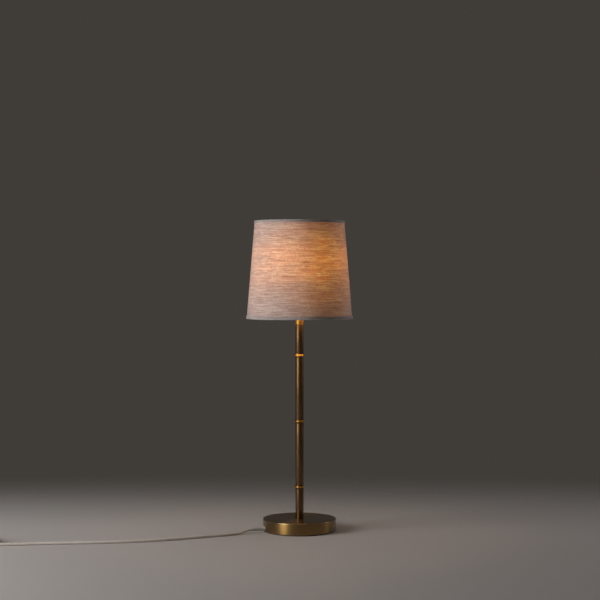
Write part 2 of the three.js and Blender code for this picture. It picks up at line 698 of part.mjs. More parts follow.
// One wall of the bulb's glass as a profile, from the neck's edge to the top, set in by a wall or not
function glassProfile(inset) {
  const radius = BULB_DIAMETER / 2 - inset;
  const centre = BULB_LENGTH - BULB_DIAMETER / 2;
  const neck = NECK_GLASS_DIAMETER / 2 - inset;
  const shoulder = GLASS_SHOULDER;
  const tangent = [radius * Math.cos(shoulder), centre - radius * Math.sin(shoulder)];
  const throat = [COLLAR.diameter / 2 - inset, COLLAR_END + GLASS_THROAT.height];
  const control = [throat[0] + GLASS_THROAT.flare, tangent[1] - GLASS_THROAT.drop];
  const profile = [
    [neck, NECK_GLASS_START],
    [neck, COLLAR_END + SEAT_GAP],
    ...bend(throat, control, tangent, CURVE_STEPS),
  ];
  for (let step = 1; step < GLOBE_STEPS; step += 1) {
    const angle = -shoulder + (step / GLOBE_STEPS) * (Math.PI / 2 + shoulder);
    profile.push([radius * Math.cos(angle), centre + radius * Math.sin(angle)]);
  }
  profile.push([0, centre + radius]);
  return profile;
}

// The sheet cap, pressed into a screw thread of rings and rolled out to a collar round the glass
function bulbCap() {
  const crest = THREAD_CREST / 2;
  const root = THREAD_ROOT / 2;
  const inside = root - CAP_TIN;
  const profile = [[inside, BULB_CAP_START], [root, BULB_CAP_START]];
  for (let turn = 0; turn < THREAD_TURNS; turn += 1) {
    const low = BULB_CAP_START + turn * THREAD_PITCH;
    profile.push([crest, low + THREAD_PITCH / 2], [root, low + THREAD_PITCH]);
  }
  const collar = COLLAR.diameter / 2;
  profile.push([collar, COLLAR_START], [collar, COLLAR_END]);
  profile.push([collar - CAP_TIN, COLLAR_END], [collar - CAP_TIN, COLLAR_START + CAP_TIN]);
  profile.push([inside, THREAD_END + CAP_TIN]);
  return turnedRing(profile, MEDIUM_SIDES);
}

// The bulb, in heights above its tip
function makeBulb() {
  const bulb = new THREE.Group();
  bulb.position.z = STEM_TOP + BULB_SEAT;
  const tip = BULB_TIP.diameter / 2;
  const contact = turned(
    [
      [0, 0],
      [tip - BULB_TIP.bevel, 0],
      [tip, BULB_TIP.bevelHeight],
      [tip, BULB_TIP.height],
      [0, BULB_TIP.height],
    ],
    SMALL_SIDES,
  );
  add(bulb, "bulb_contact", contact, NICKEL);

  const insulatorLow = BULB_TIP.height + SEAT_GAP;
  const insulatorTop = BULB_CAP_START - SEAT_GAP;
  const insulator = turned(
    [
      [0, insulatorLow],
      [BULB_INSULATOR.low / 2, insulatorLow],
      [BULB_INSULATOR.high / 2, insulatorTop - BULB_INSULATOR.edge],
      [BULB_INSULATOR.high / 2, insulatorTop],
      [0, insulatorTop],
    ],
    SMALL_SIDES,
  );
  add(bulb, "bulb_insulator", insulator, BLACK_GLASS);
  add(bulb, "bulb_cap", bulbCap(), NICKEL);

  const glass = [...glassProfile(GLASS_WALL).reverse(), ...glassProfile(0)];
  add(bulb, "bulb_glass", turned(glass, MEDIUM_SIDES), OPAL_GLASS);

  const flareRadius = NECK_GLASS_DIAMETER / 2 - GLASS_WALL - SEAT_GAP;
  const mountLow = NECK_GLASS_START;
  const flareTop = mountLow + BULB_MOUNT.flare;
  const stem = BULB_MOUNT.stem / 2;
  const mount = turned(
    [
      [0, mountLow],
      [flareRadius, mountLow],
      [flareRadius, flareTop],
      [stem, flareTop + BULB_MOUNT.cone],
      [stem, mountLow + BULB_MOUNT.height],
      [0, mountLow + BULB_MOUNT.height],
    ],
    FINE_SIDES,
  );
  add(bulb, "bulb_mount", mount, CLEAR_GLASS);

  const { wire, foot, span, height, lift } = FILAMENT;
  const wireLow = flareTop + lift;
  const loop = Array.from({ length: 5 }, (_, step) => {
    const angle = Math.PI * (1 - step / 4);
    return [span * Math.cos(angle), 0, height + 0.5 * span * Math.sin(angle)];
  });
  const filament = sweptPoints([[-foot, 0, wireLow], ...loop, [foot, 0, wireLow]], wire, 5);
  add(bulb, "bulb_filament", filament, TUNGSTEN);
  return bulb;
}

// The shade's radius over its trims at a height above its rim
function shadeRadius(height) {
  const share = height / SHADE_HEIGHT;
  return THREE.MathUtils.lerp(SHADE_BOTTOM_DIAMETER, SHADE_TOP_DIAMETER, share) / 2;
}

// Insets from that radius, from the outside inwards
const FABRIC_INSET = TRIM_THICKNESS + SEAT_GAP;
const LINER_INSET = FABRIC_INSET + FABRIC_THICKNESS + SEAT_GAP;
const WIRE_INSET = LINER_INSET + LINER_THICKNESS + SEAT_GAP + WIRE_DIAMETER / 2;
const TRIM_INNER_INSET = WIRE_INSET + WIRE_DIAMETER / 2 + SEAT_GAP;
const EDGE_INSET = TRIM_THICKNESS + SEAT_GAP; // height of the sheets' edges inside the trims

function shadeSheet(inset, thickness) {
  const low = EDGE_INSET;
  const high = SHADE_HEIGHT - EDGE_INSET;
  return turnedRing(
    [
      [shadeRadius(low) - inset - thickness, low],
      [shadeRadius(low) - inset, low],
      [shadeRadius(high) - inset, high],
      [shadeRadius(high) - inset - thickness, high],
    ],
    LARGE_SIDES,
  );
}

// The overlap of the fabric's two ends, a narrow strip up the back
function shadeSeam() {
  const low = BOTTOM_TRIM_HEIGHT + SEAT_GAP;
  const high = SHADE_HEIGHT - TOP_TRIM_HEIGHT - SEAT_GAP;
  const outside = FABRIC_INSET - SEAM_PROUD;
  const inside = FABRIC_INSET + FABRIC_THICKNESS / 2;
  const outline = new THREE.Shape([
    new THREE.Vector2(shadeRadius(low) - inside, low),
    new THREE.Vector2(shadeRadius(low) - outside, low),
    new THREE.Vector2(shadeRadius(high) - outside, high),
    new THREE.Vector2(shadeRadius(high) - inside, high),
  ]);
  return new THREE.ExtrudeGeometry(outline, { depth: SEAM_WIDTH, bevelEnabled: false })
    .rotateX(Math.PI / 2)
    .translate(0, SEAM_WIDTH / 2, 0)
    .rotateZ(Math.PI / 2);
}

// A folded strip round the lower edge: outer leg, fold and inner leg
function bottomTrim() {
  const at = (inset, height) => [shadeRadius(height) - inset, height];
  const inner = TRIM_INNER_INSET;
  return turnedRing(
    [
      at(inner + TRIM_THICKNESS, 0),
      at(0, 0),
      at(0, BOTTOM_TRIM_HEIGHT),
      at(TRIM_THICKNESS, BOTTOM_TRIM_HEIGHT),
      at(TRIM_THICKNESS, TRIM_THICKNESS),
      at(inner, TRIM_THICKNESS),
      at(inner, BOTTOM_TRIM_HEIGHT),
      at(inner + TRIM_THICKNESS, BOTTOM_TRIM_HEIGHT),
    ],
    LARGE_SIDES,
  );
}

// The same strip round the upper edge, folded over the top
function topTrim() {
  const at = (inset, height) => [shadeRadius(height) - inset, height];
  const inner = TRIM_INNER_INSET;
  const low = SHADE_HEIGHT - TOP_TRIM_HEIGHT;
  const fold = SHADE_HEIGHT - TRIM_THICKNESS;
  return turnedRing(
    [
      at(inner + TRIM_THICKNESS, low),
      at(inner, low),
      at(inner, fold),
      at(TRIM_THICKNESS, fold),
      at(TRIM_THICKNESS, low),
      at(0, low),
      at(0, SHADE_HEIGHT),
      at(inner + TRIM_THICKNESS, SHADE_HEIGHT),
    ],
    LARGE_SIDES,
  );
}

function wireRing(height) {
  const radius = shadeRadius(height) - WIRE_INSET;
  return new THREE.TorusGeometry(radius, WIRE_DIAMETER / 2, WIRE_SIDES, LARGE_SIDES)
    .translate(0, 0, height);
}

// The pressed plate that lies on the lampholder's flange, under the ring
function fitterPlate() {
  const bore = CAP_DIAMETER + 4 * RUNNING_GAP;
  return tube(bore, 2 * FITTER_RADIUS, FITTER.rise, FITTER.rise + FITTER.thickness, MEDIUM_SIDES);
}

// The lower wire ring and its arms, welded into one frame. Each arm rises inside the trim, bends
// inwards and ends under the plate, to which it is welded.
function bottomFrame() {
  const ringHeight = EDGE_INSET + WIRE_DIAMETER / 2;
  const armTop = FITTER.rise - SEAT_GAP - WIRE_DIAMETER / 2;
  const armEnd = FLANGE_DIAMETER / 2 + 2 * RUNNING_GAP;
  const ringRadius = shadeRadius(ringHeight) - WIRE_INSET;
  const shoulderRadius = shadeRadius(ARM.shoulder) - WIRE_INSET;
  const control = [shadeRadius(ARM.shoulder + ARM.curve) - WIRE_INSET, ARM.shoulder + ARM.control];
  const knee = [shoulderRadius - ARM.inset, ARM.shoulder + ARM.curve];
  const route = [
    [ringRadius, ringHeight],
    ...bend([shoulderRadius, ARM.shoulder], control, knee, CURVE_STEPS),
    [FITTER_RADIUS + ARM.level, armTop],
    [armEnd, armTop],
  ];
  const arms = Array.from({ length: FITTER.arms }, (_, arm) => {
    const angle = Math.PI / 2 + (2 * Math.PI * arm) / FITTER.arms;
    return sweptPoints(route.map(([radius, height]) => [radius, 0, height]), WIRE_DIAMETER, WIRE_SIDES)
      .rotateZ(angle);
  });
  return join(wireRing(ringHeight), ...arms);
}

function makeShade() {
  const shade = new THREE.Group();
  shade.position.z = SHADE_BASE;
  add(shade, "shade_fitter", fitterPlate(), WHITE_ENAMEL);
  add(shade, "shade_bottom_frame", bottomFrame(), WHITE_ENAMEL);
  const topRingHeight = SHADE_HEIGHT - EDGE_INSET - WIRE_DIAMETER / 2;
  add(shade, "shade_top_ring", wireRing(topRingHeight), WHITE_ENAMEL);
  add(shade, "shade_liner", shadeSheet(LINER_INSET, LINER_THICKNESS), WHITE_LINER);
  add(shade, "shade_fabric", join(shadeSheet(FABRIC_INSET, FABRIC_THICKNESS), shadeSeam()), LINEN);
  add(shade, "shade_trim_bottom", bottomTrim(), LINEN_TRIM);
  add(shade, "shade_trim_top", topTrim(), LINEN_TRIM);
  return shade;
}

// The lead's end inside the foot, its two cores up the rod, and the moulded strain relief in the wall.
// In this group +X points outwards through the hole in the wall.
function makeInnerLead() {
  const inner = new THREE.Group();
  inner.rotation.z = EXIT_AZIMUTH;
  const wallOutside = FOOT_DIAMETER / 2 + SEAT_GAP;
  const bore = LEAD_RADIUS + SEAT_GAP;
  const flange = RELIEF_FLANGE;
  const flatWall = (FOOT_DIAMETER / 2 - FOOT_WALL) * Math.cos(Math.PI / LARGE_SIDES);
  const wallInside = Math.sqrt(flatWall ** 2 - flange ** 2) - SEAT_GAP;
  const barrel = RELIEF_BARREL;
  const relief = turnedRing(
    [
      [bore, wallInside - RELIEF.flangeWidth],
      [barrel, wallInside - RELIEF.flangeWidth],
      [flange, wallInside],
      [barrel, wallInside],
      [barrel, wallOutside],
      [flange, wallOutside],
      [flange, wallOutside + RELIEF.flangeWidth],
      [LEAD_RADIUS + RELIEF.root, wallOutside + RELIEF.flangeWidth],
      [LEAD_RADIUS + RELIEF.tip, RELIEF_END],
      [bore, RELIEF_END],
    ],
    SMALL_SIDES,
  );
  add(inner, "strain_relief", alongX(relief), PALE_SHEATH).position.z = EXIT_HEIGHT;
  const sheath = disc(LEAD_DIAMETER, SHEATH_END, RELIEF_END, FINE_SIDES);
  add(inner, "lead_inner", alongX(sheath), PALE_SHEATH).position.z = EXIT_HEIGHT;

  const low = FELT_THICKNESS + CORE_DIAMETER / 2 + 2 * SEAT_GAP;
  const start = SHEATH_END - SEAT_GAP;
  const terminalLow = STEM_TOP + INSERT_START - SEAT_GAP - TERMINAL.height - SEAT_GAP;
  const bowl = STEM_TOP + NECK_HEIGHT + CAP_WALL;
  [["live", 1, BROWN_CORE], ["neutral", -1, BLUE_CORE]].forEach(([name, side, material]) => {
    const lane = (side * CORE_SPACING) / 2;
    const post = side * TERMINAL_REACH;
    const upturn = Array.from({ length: CURVE_STEPS + 1 }, (_, step) => {
      const angle = (Math.PI / 2) * (step / CURVE_STEPS);
      const out = CORE_BEND * (1 - Math.sin(angle));
      return [out, lane, low + CORE_BEND * (1 - Math.cos(angle))];
    });
    const fan = CORE_FAN.map(([out, up]) => [
      0,
      THREE.MathUtils.lerp(lane, post, out),
      THREE.MathUtils.lerp(bowl, terminalLow, up),
    ]);
    const route = [
      [start, lane, EXIT_HEIGHT],
      [start - CORE_START.length, lane, EXIT_HEIGHT - CORE_START.drop],
      [CORE_BEND + CORE_START.level, lane, low],
      ...upturn,
      ...fan,
    ];
    add(inner, `lead_core_${name}`, sweptPoints(route, CORE_DIAMETER, WIRE_SIDES), material);
  });
  return inner;
}

// A point of the coil's middle line. The spiral winds in on the lower layer, climbs in the half turn
// where it reverses, and winds out again on the upper layer, all clockwise seen from above.
function coilPoint(turn) {
  const fromMiddle = Math.abs(turn - COIL_TURNS / 2);
  const radius = COIL_RADIUS - COIL_PITCH * (COIL_TURNS / 2 - fromMiddle);
  const climb = THREE.MathUtils.smoothstep(turn, COIL_TURNS / 2 - 0.25, COIL_TURNS / 2 + 0.25);
  const angle = COIL_START - 2 * Math.PI * turn;
  return [
    COIL_CENTRE.x + radius * Math.cos(angle),
    COIL_CENTRE.y + radius * Math.sin(angle),
    COIL_HEIGHT + COIL_PITCH * climb,
  ];
}

// The direction of travel at an angle round the coil
function coilHeading(turn) {
  const angle = COIL_START - 2 * Math.PI * turn;
  return [Math.sin(angle), -Math.cos(angle)];
}

function coilRoute(stepsPerLoop) {
  const steps = Math.round(COIL_TURNS * stepsPerLoop);
  const loops = Array.from({ length: steps + 1 }, (_, step) => coilPoint((COIL_TURNS * step) / steps));
  const straight = (turn, length) => {
    const [x, y, z] = coilPoint(turn);
    const [alongXAxis, alongYAxis] = coilHeading(turn);
    return [x + length * alongXAxis, y + length * alongYAxis, z];
  };
  return [straight(0, -LEAD_DIAMETER), ...loops, straight(COIL_TURNS, LEAD_DIAMETER)];
}

// The least gap between the coil's loops, measured on points of its middle line
function coilLeastGap() {
  const finePerLoop = 72;
  const points = coilRoute(finePerLoop).map(([x, y, z]) => new THREE.Vector3(x, y, z));
  let least = Infinity;
  points.forEach((point, index) => {
    for (let other = index + finePerLoop / 2; other < points.length; other += 1) {
      least = Math.min(least, point.distanceTo(points[other]));
    }
  });
  return least - LEAD_DIAMETER;
}

// A strap round all loops at one place of the coil
function coilTie() {
  const inner = COIL_RADIUS - COIL_PITCH * (COIL_TURNS / 2) - LEAD_RADIUS - 2 * TIE.gap;
  const outer = COIL_RADIUS + LEAD_RADIUS + TIE.gap;
  const low = COIL_HEIGHT - LEAD_RADIUS - TIE.gap;
  const high = COIL_HEIGHT + COIL_PITCH + LEAD_RADIUS + TIE.gap;
  const frame = (margin) => [
    new THREE.Vector2(inner - margin, low - margin),
    new THREE.Vector2(outer + margin, low - margin),
    new THREE.Vector2(outer + margin, high + margin),
    new THREE.Vector2(inner - margin, high + margin),
  ];
  const outline = new THREE.Shape(frame(TIE.thickness));
  outline.holes.push(new THREE.Path(frame(0)));
  return new THREE.ExtrudeGeometry(outline, { depth: TIE.width, bevelEnabled: false })
    .rotateX(Math.PI / 2)
    .translate(0, TIE.width / 2, 0)
    .rotateZ(TIE.azimuth)
    .translate(COIL_CENTRE.x, COIL_CENTRE.y, 0);
}

// The plug, with its pins along +Y and its neck's end at the origin
function makePlug() {
  const plug = new THREE.Group();
  const rear = PLUG.neck;
  const front = PLUG.neck + PLUG.length;
  const { bevel } = PLUG;
  const half = PLUG.width / 2 - bevel;
  const back = PLUG.rear / 2 - bevel;
  const outline = new THREE.Shape([
    new THREE.Vector2(-back, rear + bevel),
    new THREE.Vector2(back, rear + bevel),
    new THREE.Vector2(half, rear + PLUG.shoulder * PLUG.length),
    new THREE.Vector2(half, front - bevel),
    new THREE.Vector2(-half, front - bevel),
    new THREE.Vector2(-half, rear + PLUG.shoulder * PLUG.length),
  ]);
  const depth = PLUG.thickness - 2 * bevel;
  const options = { depth, bevelSize: bevel, bevelThickness: bevel, bevelSegments: 2 };
  const body = new THREE.ExtrudeGeometry(outline, options).translate(0, 0, -depth / 2);
  const neck = turned(
    [[0, 0], [LEAD_RADIUS + RELIEF.tip, 0], [back, rear + 2 * bevel], [0, rear + 2 * bevel]],
    SMALL_SIDES,
  ).rotateX(-Math.PI / 2);
  const sockets = [-1, 1].map((side) =>
    disc(PIN.diameter + 2 * SEAT_GAP, front - PIN.root - SEAT_GAP, front + CUT_REACH, SMALL_SIDES)
      .rotateX(-Math.PI / 2)
      .translate((side * PIN.spacing) / 2, 0, 0),
  );
  const shell = join(body, neck);
  add(plug, "plug_body", cut(shell, ...sockets), PALE_SHEATH);
  [-1, 1].forEach((side, index) => {
    const radius = PIN.diameter / 2;
    const tip = front + PIN.length;
    const pin = turned(
      [
        [0, front - PIN.root],
        [radius, front - PIN.root],
        [radius, tip - PIN.nose],
        [PIN.tip / 2, tip],
        [0, tip],
      ],
      FINE_SIDES,
    ).rotateX(-Math.PI / 2);
    add(plug, `plug_pin_${index + 1}`, pin, NICKEL).position.x = (side * PIN.spacing) / 2;
  });
  return plug;
}

// The free lead on the surface, its coil with the tie, and the plug at its end
function makeFreeLead() {
  const lead = new THREE.Group();
  const leave = RELIEF_END + SEAT_GAP;
  const exit = [leave * Math.cos(EXIT_AZIMUTH), leave * Math.sin(EXIT_AZIMUTH), EXIT_HEIGHT];
  const coil = coilRoute(LOOP_STEPS);
  const [coilX, coilY, coilZ] = coil[0];
  const [headingX, headingY] = coilHeading(0);
  const arrive = [coilX - SEAT_GAP * headingX, coilY - SEAT_GAP * headingY, coilZ];
  const onSurface = LEAD_ROUTE.map(([x, y, lift]) => [x, y, LEAD_REST + lift]);
  const routePoints = [exit, ...onSurface, arrive].map(([x, y, z]) => new THREE.Vector3(x, y, z));
  const route = new THREE.CatmullRomCurve3(routePoints, false, "centripetal");
  const runSteps = Math.round(route.getLength() / (RUN_STEP * LEAD_DIAMETER));
  add(lead, "lead_run", swept(route, LEAD_DIAMETER, LEAD_SIDES, runSteps), PALE_SHEATH);
  add(lead, "lead_coil", sweptPoints(coil, LEAD_DIAMETER, WIRE_SIDES), PALE_SHEATH);
  add(lead, "lead_tie", coilTie(), TIE_FABRIC);

  const [endX, endY, endZ] = coil[coil.length - 1];
  const [outX, outY] = coilHeading(COIL_TURNS);
  const plugHeight = PLUG.thickness / 2 + SEAT_GAP;
  const along = (distance, height) => [endX + distance * outX, endY + distance * outY, height];
  const tail = [
    along(SEAT_GAP, endZ),
    along(SEAT_GAP + TAIL_STRAIGHT, endZ),
    ...TAIL_SAG.map(([share, height]) => along(share * TAIL_LENGTH, height * endZ)),
    along(TAIL_LENGTH - TAIL_STRAIGHT, plugHeight),
    along(TAIL_LENGTH, plugHeight),
  ].map(([x, y, z]) => new THREE.Vector3(x, y, z));
  const tailPath = new THREE.CatmullRomCurve3(tail, false, "centripetal");
  add(lead, "lead_tail", swept(tailPath, LEAD_DIAMETER, LEAD_SIDES, TAIL_STEPS), PALE_SHEATH);

  const plug = makePlug();
  plug.position.set(...along(TAIL_LENGTH + SEAT_GAP, plugHeight));
  plug.rotation.z = Math.atan2(outY, outX) - Math.PI / 2;
  lead.add(plug);
  return lead;
}

const lamp = new THREE.Group();
lamp.add(makeFoot(), makeRod(), makeStem(), makeHolder(), makeBulb(), makeShade());
lamp.add(makeInnerLead(), makeFreeLead());
console.log(`coil: least gap to itself ${coilLeastGap().toFixed(2)} mm`);

export default lamp;
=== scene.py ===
"""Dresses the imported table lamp: smooth metal, lit linen, a real bulb and a soft mains lead.

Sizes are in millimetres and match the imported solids; meshes are made in metres, in the part's own
frame. The lamp stands on z = 0 with its axis on z, and the camera looks along +y. Node values are in
metres too.
"""

import json
import logging
import math
from collections.abc import Callable, Sequence
from dataclasses import dataclass
from enum import Enum, StrEnum, auto
from functools import partial
from typing import Self

import bmesh
import bpy
from mathutils import Matrix, Vector, noise

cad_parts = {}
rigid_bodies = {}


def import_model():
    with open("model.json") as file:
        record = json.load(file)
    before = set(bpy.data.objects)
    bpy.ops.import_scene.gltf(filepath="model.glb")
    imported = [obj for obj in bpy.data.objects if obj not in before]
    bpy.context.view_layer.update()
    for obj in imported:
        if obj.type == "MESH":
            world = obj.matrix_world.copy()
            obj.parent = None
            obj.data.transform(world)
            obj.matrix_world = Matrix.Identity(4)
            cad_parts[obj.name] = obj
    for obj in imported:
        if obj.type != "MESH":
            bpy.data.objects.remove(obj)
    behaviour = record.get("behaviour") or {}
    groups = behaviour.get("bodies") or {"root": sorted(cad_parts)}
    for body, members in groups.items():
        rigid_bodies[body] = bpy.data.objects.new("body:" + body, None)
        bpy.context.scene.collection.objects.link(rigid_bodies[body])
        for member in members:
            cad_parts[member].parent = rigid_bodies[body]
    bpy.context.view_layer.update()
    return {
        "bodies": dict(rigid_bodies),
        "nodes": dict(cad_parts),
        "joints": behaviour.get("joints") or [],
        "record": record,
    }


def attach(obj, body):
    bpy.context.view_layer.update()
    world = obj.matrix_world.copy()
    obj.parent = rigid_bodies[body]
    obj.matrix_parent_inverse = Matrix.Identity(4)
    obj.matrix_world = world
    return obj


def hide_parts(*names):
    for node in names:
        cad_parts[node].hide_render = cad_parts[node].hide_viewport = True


LOG = logging.getLogger("lamp")
MM = 0.001
TURN = 2 * math.pi
TUBE_RADIUS = 7.9
SPIGOT_INNER, SPIGOT_OUTER = 5.3, 6.6

Rgb = tuple[float, float, float]
Flat = tuple[float, float]
Corner = tuple[float, float, float]
Swell = Callable[[float, float, float], float]
Socket = bpy.types.NodeSocket
Inputs = dict[str | int, object]
Piece = bpy.types.Object


class Body(Enum):
    """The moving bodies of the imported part."""

    BASE = "lamp_base"
    SHADE = "shade_unit"
    RING = "ring_unit"
    BULB = "bulb_unit"
    SWITCH = "switch_unit"


class Slot(StrEnum):
    """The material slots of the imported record."""

    AGED_BRASS = auto()
    BRIGHT_BRASS = auto()
    PLAIN_BRASS = auto()
    CAST_IRON = auto()
    DARK_FELT = auto()
    ZINC_STEEL = auto()
    BLACK_PHENOLIC = auto()
    WHITE_INSULATOR = auto()
    WHITE_ENAMEL = auto()
    LINEN = auto()
    LINEN_TRIM = auto()
    SHADE_LINER = auto()
    OPAL_GLASS = auto()
    CLEAR_GLASS = auto()
    NICKEL = auto()
    BLACK_GLASS = auto()
    TUNGSTEN = auto()
    LEAD_SHEATH = auto()
    BROWN_CORE = auto()
    BLUE_CORE = auto()
    TIE_STRAP = auto()


# Node sheets


class NodeSheet:
    """The nodes of a material or of the world, with short calls that add and join them."""

    def __init__(self, owner: bpy.types.ID, output: str = "ShaderNodeOutputMaterial") -> None:
        """Starts an empty sheet.

        Args:
            owner: The material or the world.
            output: The type of its last node.
        """
        owner.use_nodes = True
        self.owner = owner
        self.tree = owner.node_tree
        self.tree.nodes.clear()
        self.output = self.tree.nodes.new(output)

    def put(self, socket: Socket, value: object) -> None:
        """Sets a socket to a constant, or joins it to another socket.

        Args:
            socket: The input to fill.
            value: A number, a colour, a vector or an output socket.
        """
        if isinstance(value, Socket):
            self.tree.links.new(value, socket)
        elif isinstance(value, tuple) and socket.type == "RGBA" and len(value) == 3:
            socket.default_value = (*value, 1.0)
        else:
            socket.default_value = value

    def node(self, kind: str, inputs: Inputs, **settings: object) -> bpy.types.Node:
        """Adds a node.

        Args:
            kind: The node's type.
            inputs: Its inputs by name or number.
            **settings: Its own settings.

        Returns:
            The new node.
        """
        made = self.tree.nodes.new(kind)
        for name, value in settings.items():
            setattr(made, name, value)
        for name, value in inputs.items():
            self.put(made.inputs[name], value)
        return made

    def sum(self, operation: str, *values: object) -> Socket:
        """Adds a Math node with an operation and its values."""
        return self.node("ShaderNodeMath", dict(enumerate(values)), operation=operation).outputs[0]

    def times(self, first: object, second: object) -> Socket:
        """Multiplies two values."""
        return self.sum("MULTIPLY", first, second)

    def scaled(self, value: object, factor: object, extra: object) -> Socket:
        """Multiplies a value by a factor and adds something extra."""
        return self.sum("MULTIPLY_ADD", value, factor, extra)

    def varied(self, value: object, grain: Socket, amount: float) -> Socket:
        """Varies a value up and down by an amount of a noise."""
        return self.scaled(self.sum("SUBTRACT", grain, 0.5), amount, value)

    def length(self, across: object, along: object) -> Socket:
        """Gives the length of a step with two sides at right angles."""
        return self.sum("SQRT", self.sum("ADD", self.times(across, across), self.times(along, along)))

    def vector(self, x: object, y: object, z: object) -> Socket:
        """Joins three values to a vector."""
        return self.node("ShaderNodeCombineXYZ", {0: x, 1: y, 2: z}).outputs[0]

    def grain(self, place: Socket, scale: float, detail: float = 3.0, rough: float = 0.55) -> Socket:
        """Reads a noise from 0 to 1 at a place, with a scale, some finer layers and their strength."""
        inputs = {"Vector": place, "Scale": scale, "Detail": detail, "Roughness": rough}
        return self.node("ShaderNodeTexNoise", inputs).outputs[0]

    def between(
        self, value: object, low: float, high: float, start: float = 0.0, end: float = 1.0
    ) -> Socket:
        """Maps a value smoothly from the range low to high to the range start to end, and holds it there."""
        inputs = {0: value, 1: low, 2: high, 3: start, 4: end}
        return self.node("ShaderNodeMapRange", inputs, interpolation_type="SMOOTHSTEP").outputs[0]

    def blend(self, share: object, first: object, second: object, how: str = "MIX") -> Socket:
        """Mixes two colours, with a share of the second."""
        inputs = {0: share, 6: first, 7: second}
        return self.node("ShaderNodeMix", inputs, data_type="RGBA", blend_type=how).outputs[2]

    def split(self) -> tuple[Socket, ...]:
        """Gives a point's place in the part's own frame, and its x, y and z."""
        place = self.node("ShaderNodeTexCoord", {}).outputs["Object"]
        return place, *self.node("ShaderNodeSeparateXYZ", {0: place}).outputs

    def places(self) -> tuple[Socket, ...]:
        """Gives a point's place, its distance from the lamp's axis, its angle round it and its height."""
        place, x, y, z = self.split()
        return place, self.length(x, y), self.sum("ARCTAN2", x, self.times(y, -1.0)), z

    def bump(self, height: object, strength: float, distance: float) -> Socket:
        """Gives the normal of fine relief, from its height, its strength and its depth in metres."""
        inputs = {"Height": height, "Strength": strength, "Distance": distance}
        return self.node("ShaderNodeBump", inputs).outputs[0]

    def finish(self, inputs: Inputs, kind: str = "ShaderNodeBsdfPrincipled") -> bpy.types.ID:
        """Ends the sheet with its main shader, and gives its owner."""
        self.tree.links.new(self.node(kind, inputs).outputs[0], self.output.inputs[0])
        return self.owner


# Finishes


@dataclass(frozen=True)
class Metal:
    """Turned or drawn metal with fine lines round the lamp's axis and a little age.

    What lies inside tube_edge is drawn tube, with its lines along it and a tone of its own, painted brighter
    and warmer near its top as if lit by the bulb.
    The flares of the rings below the neck carry painted shade, and the lower rings are painted darker than
    the top one, which alone the bulb's light reaches.
    """

    light: Rgb
    dark: Rgb
    roughness: float
    lines: float = 0.10
    relief: float = 0.05
    patches: float = 0.5
    stretch: float = 0.55
    worn: tuple[Flat, ...] = ()
    worn_colour: Rgb = (0.80, 0.62, 0.32)
    lacquer: float = 0.0
    line_scale: float = 2600.0
    tube_edge: Flat = (0.0081, 0.0086)
    drawn_tone: Rgb | None = None
    bulb_lit_tone: Rgb = (1.0, 1.0, 1.0)
    bulb_lit_height: Flat = (0.384, 0.436)
    flare_shade: Rgb | None = None
    flare_shade_edge: Flat = (0.0083, 0.0087)
    flare_shade_height: Flat = (0.386, 0.389)
    lower_rings_shade: float = 1.0
    lower_rings_shade_height: Flat = (0.22, 0.32)

    def inputs(self, sheet: NodeSheet) -> Inputs:
        """Writes the finish on a sheet.

        Args:
            sheet: The sheet.

        Returns:
            The shader's inputs.
        """
        place, radius, angle, height = sheet.places()
        fine = [sheet.times(way, self.line_scale) for way in (radius, height)]
        lines = sheet.grain(sheet.vector(sheet.times(angle, 1.6), *fine), 1.0, 4.0, 0.7)
        patches = sheet.grain(place, 34.0, 4.0, 0.6)
        smudges = sheet.grain(place, 160.0, 3.0, 0.6)
        age = sheet.times(sheet.between(patches, 0.35, 0.68), self.patches)
        colour = sheet.blend(age, self.light, self.dark)
        speck = sheet.between(sheet.grain(place, 900.0, 2.0), 0.66, 0.74, 0.0, 0.35)
        colour = sheet.blend(speck, colour, self.dark)
        for ring_radius, ring_height in self.worn:
            aside = sheet.sum("SUBTRACT", radius, ring_radius * MM)
            above = sheet.sum("SUBTRACT", height, ring_height * MM)
            wear = sheet.between(sheet.length(aside, above), 0.0004, 0.0016, 0.75, 0.0)
            colour = sheet.blend(sheet.times(wear, smudges), colour, self.worn_colour)
        # Painted shade: below the lampholder's neck, the brass nearer the axis than each ring's bead, that is
        # its flares, is darkened as if in shade, so each ring shows as a narrow bright band.
        if self.flare_shade:
            beside = sheet.between(radius, *self.flare_shade_edge, 0.9, 0.0)
            below = sheet.between(height, *self.flare_shade_height, 1.0, 0.0)
            colour = sheet.blend(sheet.times(beside, below), colour, self.flare_shade)
        # Painted shade: the lower rings are darkened, since the bulb's light from under the shade reaches
        # only the top ring.
        if self.lower_rings_shade < 1.0:
            lower_rings_shade = sheet.between(height, *self.lower_rings_shade_height, self.lower_rings_shade, 1.0)
            colour = sheet.blend(1.0, colour, lower_rings_shade, "MULTIPLY")
        lined = sheet.varied(self.roughness, lines, self.lines)
        turned = sheet.node("ShaderNodeTangent", {}, direction_type="RADIAL", axis="Z").outputs[0]
        share = sheet.between(radius, *self.tube_edge)
        # Painted light: the drawn tube is brightened and warmed near its top, just under the shade, as if lit
        # by the bulb.
        if self.drawn_tone:
            tone = sheet.blend(sheet.between(height, *self.bulb_lit_height), self.drawn_tone, self.bulb_lit_tone)
            colour = sheet.blend(share, sheet.blend(1.0, colour, tone, "MULTIPLY"), colour)
        ways = {0: share, 4: sheet.vector(0.0, 0.0, 1.0), 5: turned}
        return {
            "Base Color": colour,
            "Metallic": 1.0,
            "Roughness": sheet.varied(lined, smudges, 0.10),
            "Anisotropic": self.stretch,
            "Anisotropic Rotation": 0.25,
            "Tangent": sheet.node("ShaderNodeMix", ways, data_type="VECTOR").outputs[1],
            "Coat Weight": self.lacquer,
            "Coat Roughness": 0.3,
            "Normal": sheet.bump(lines, self.relief, 0.0002),
        }


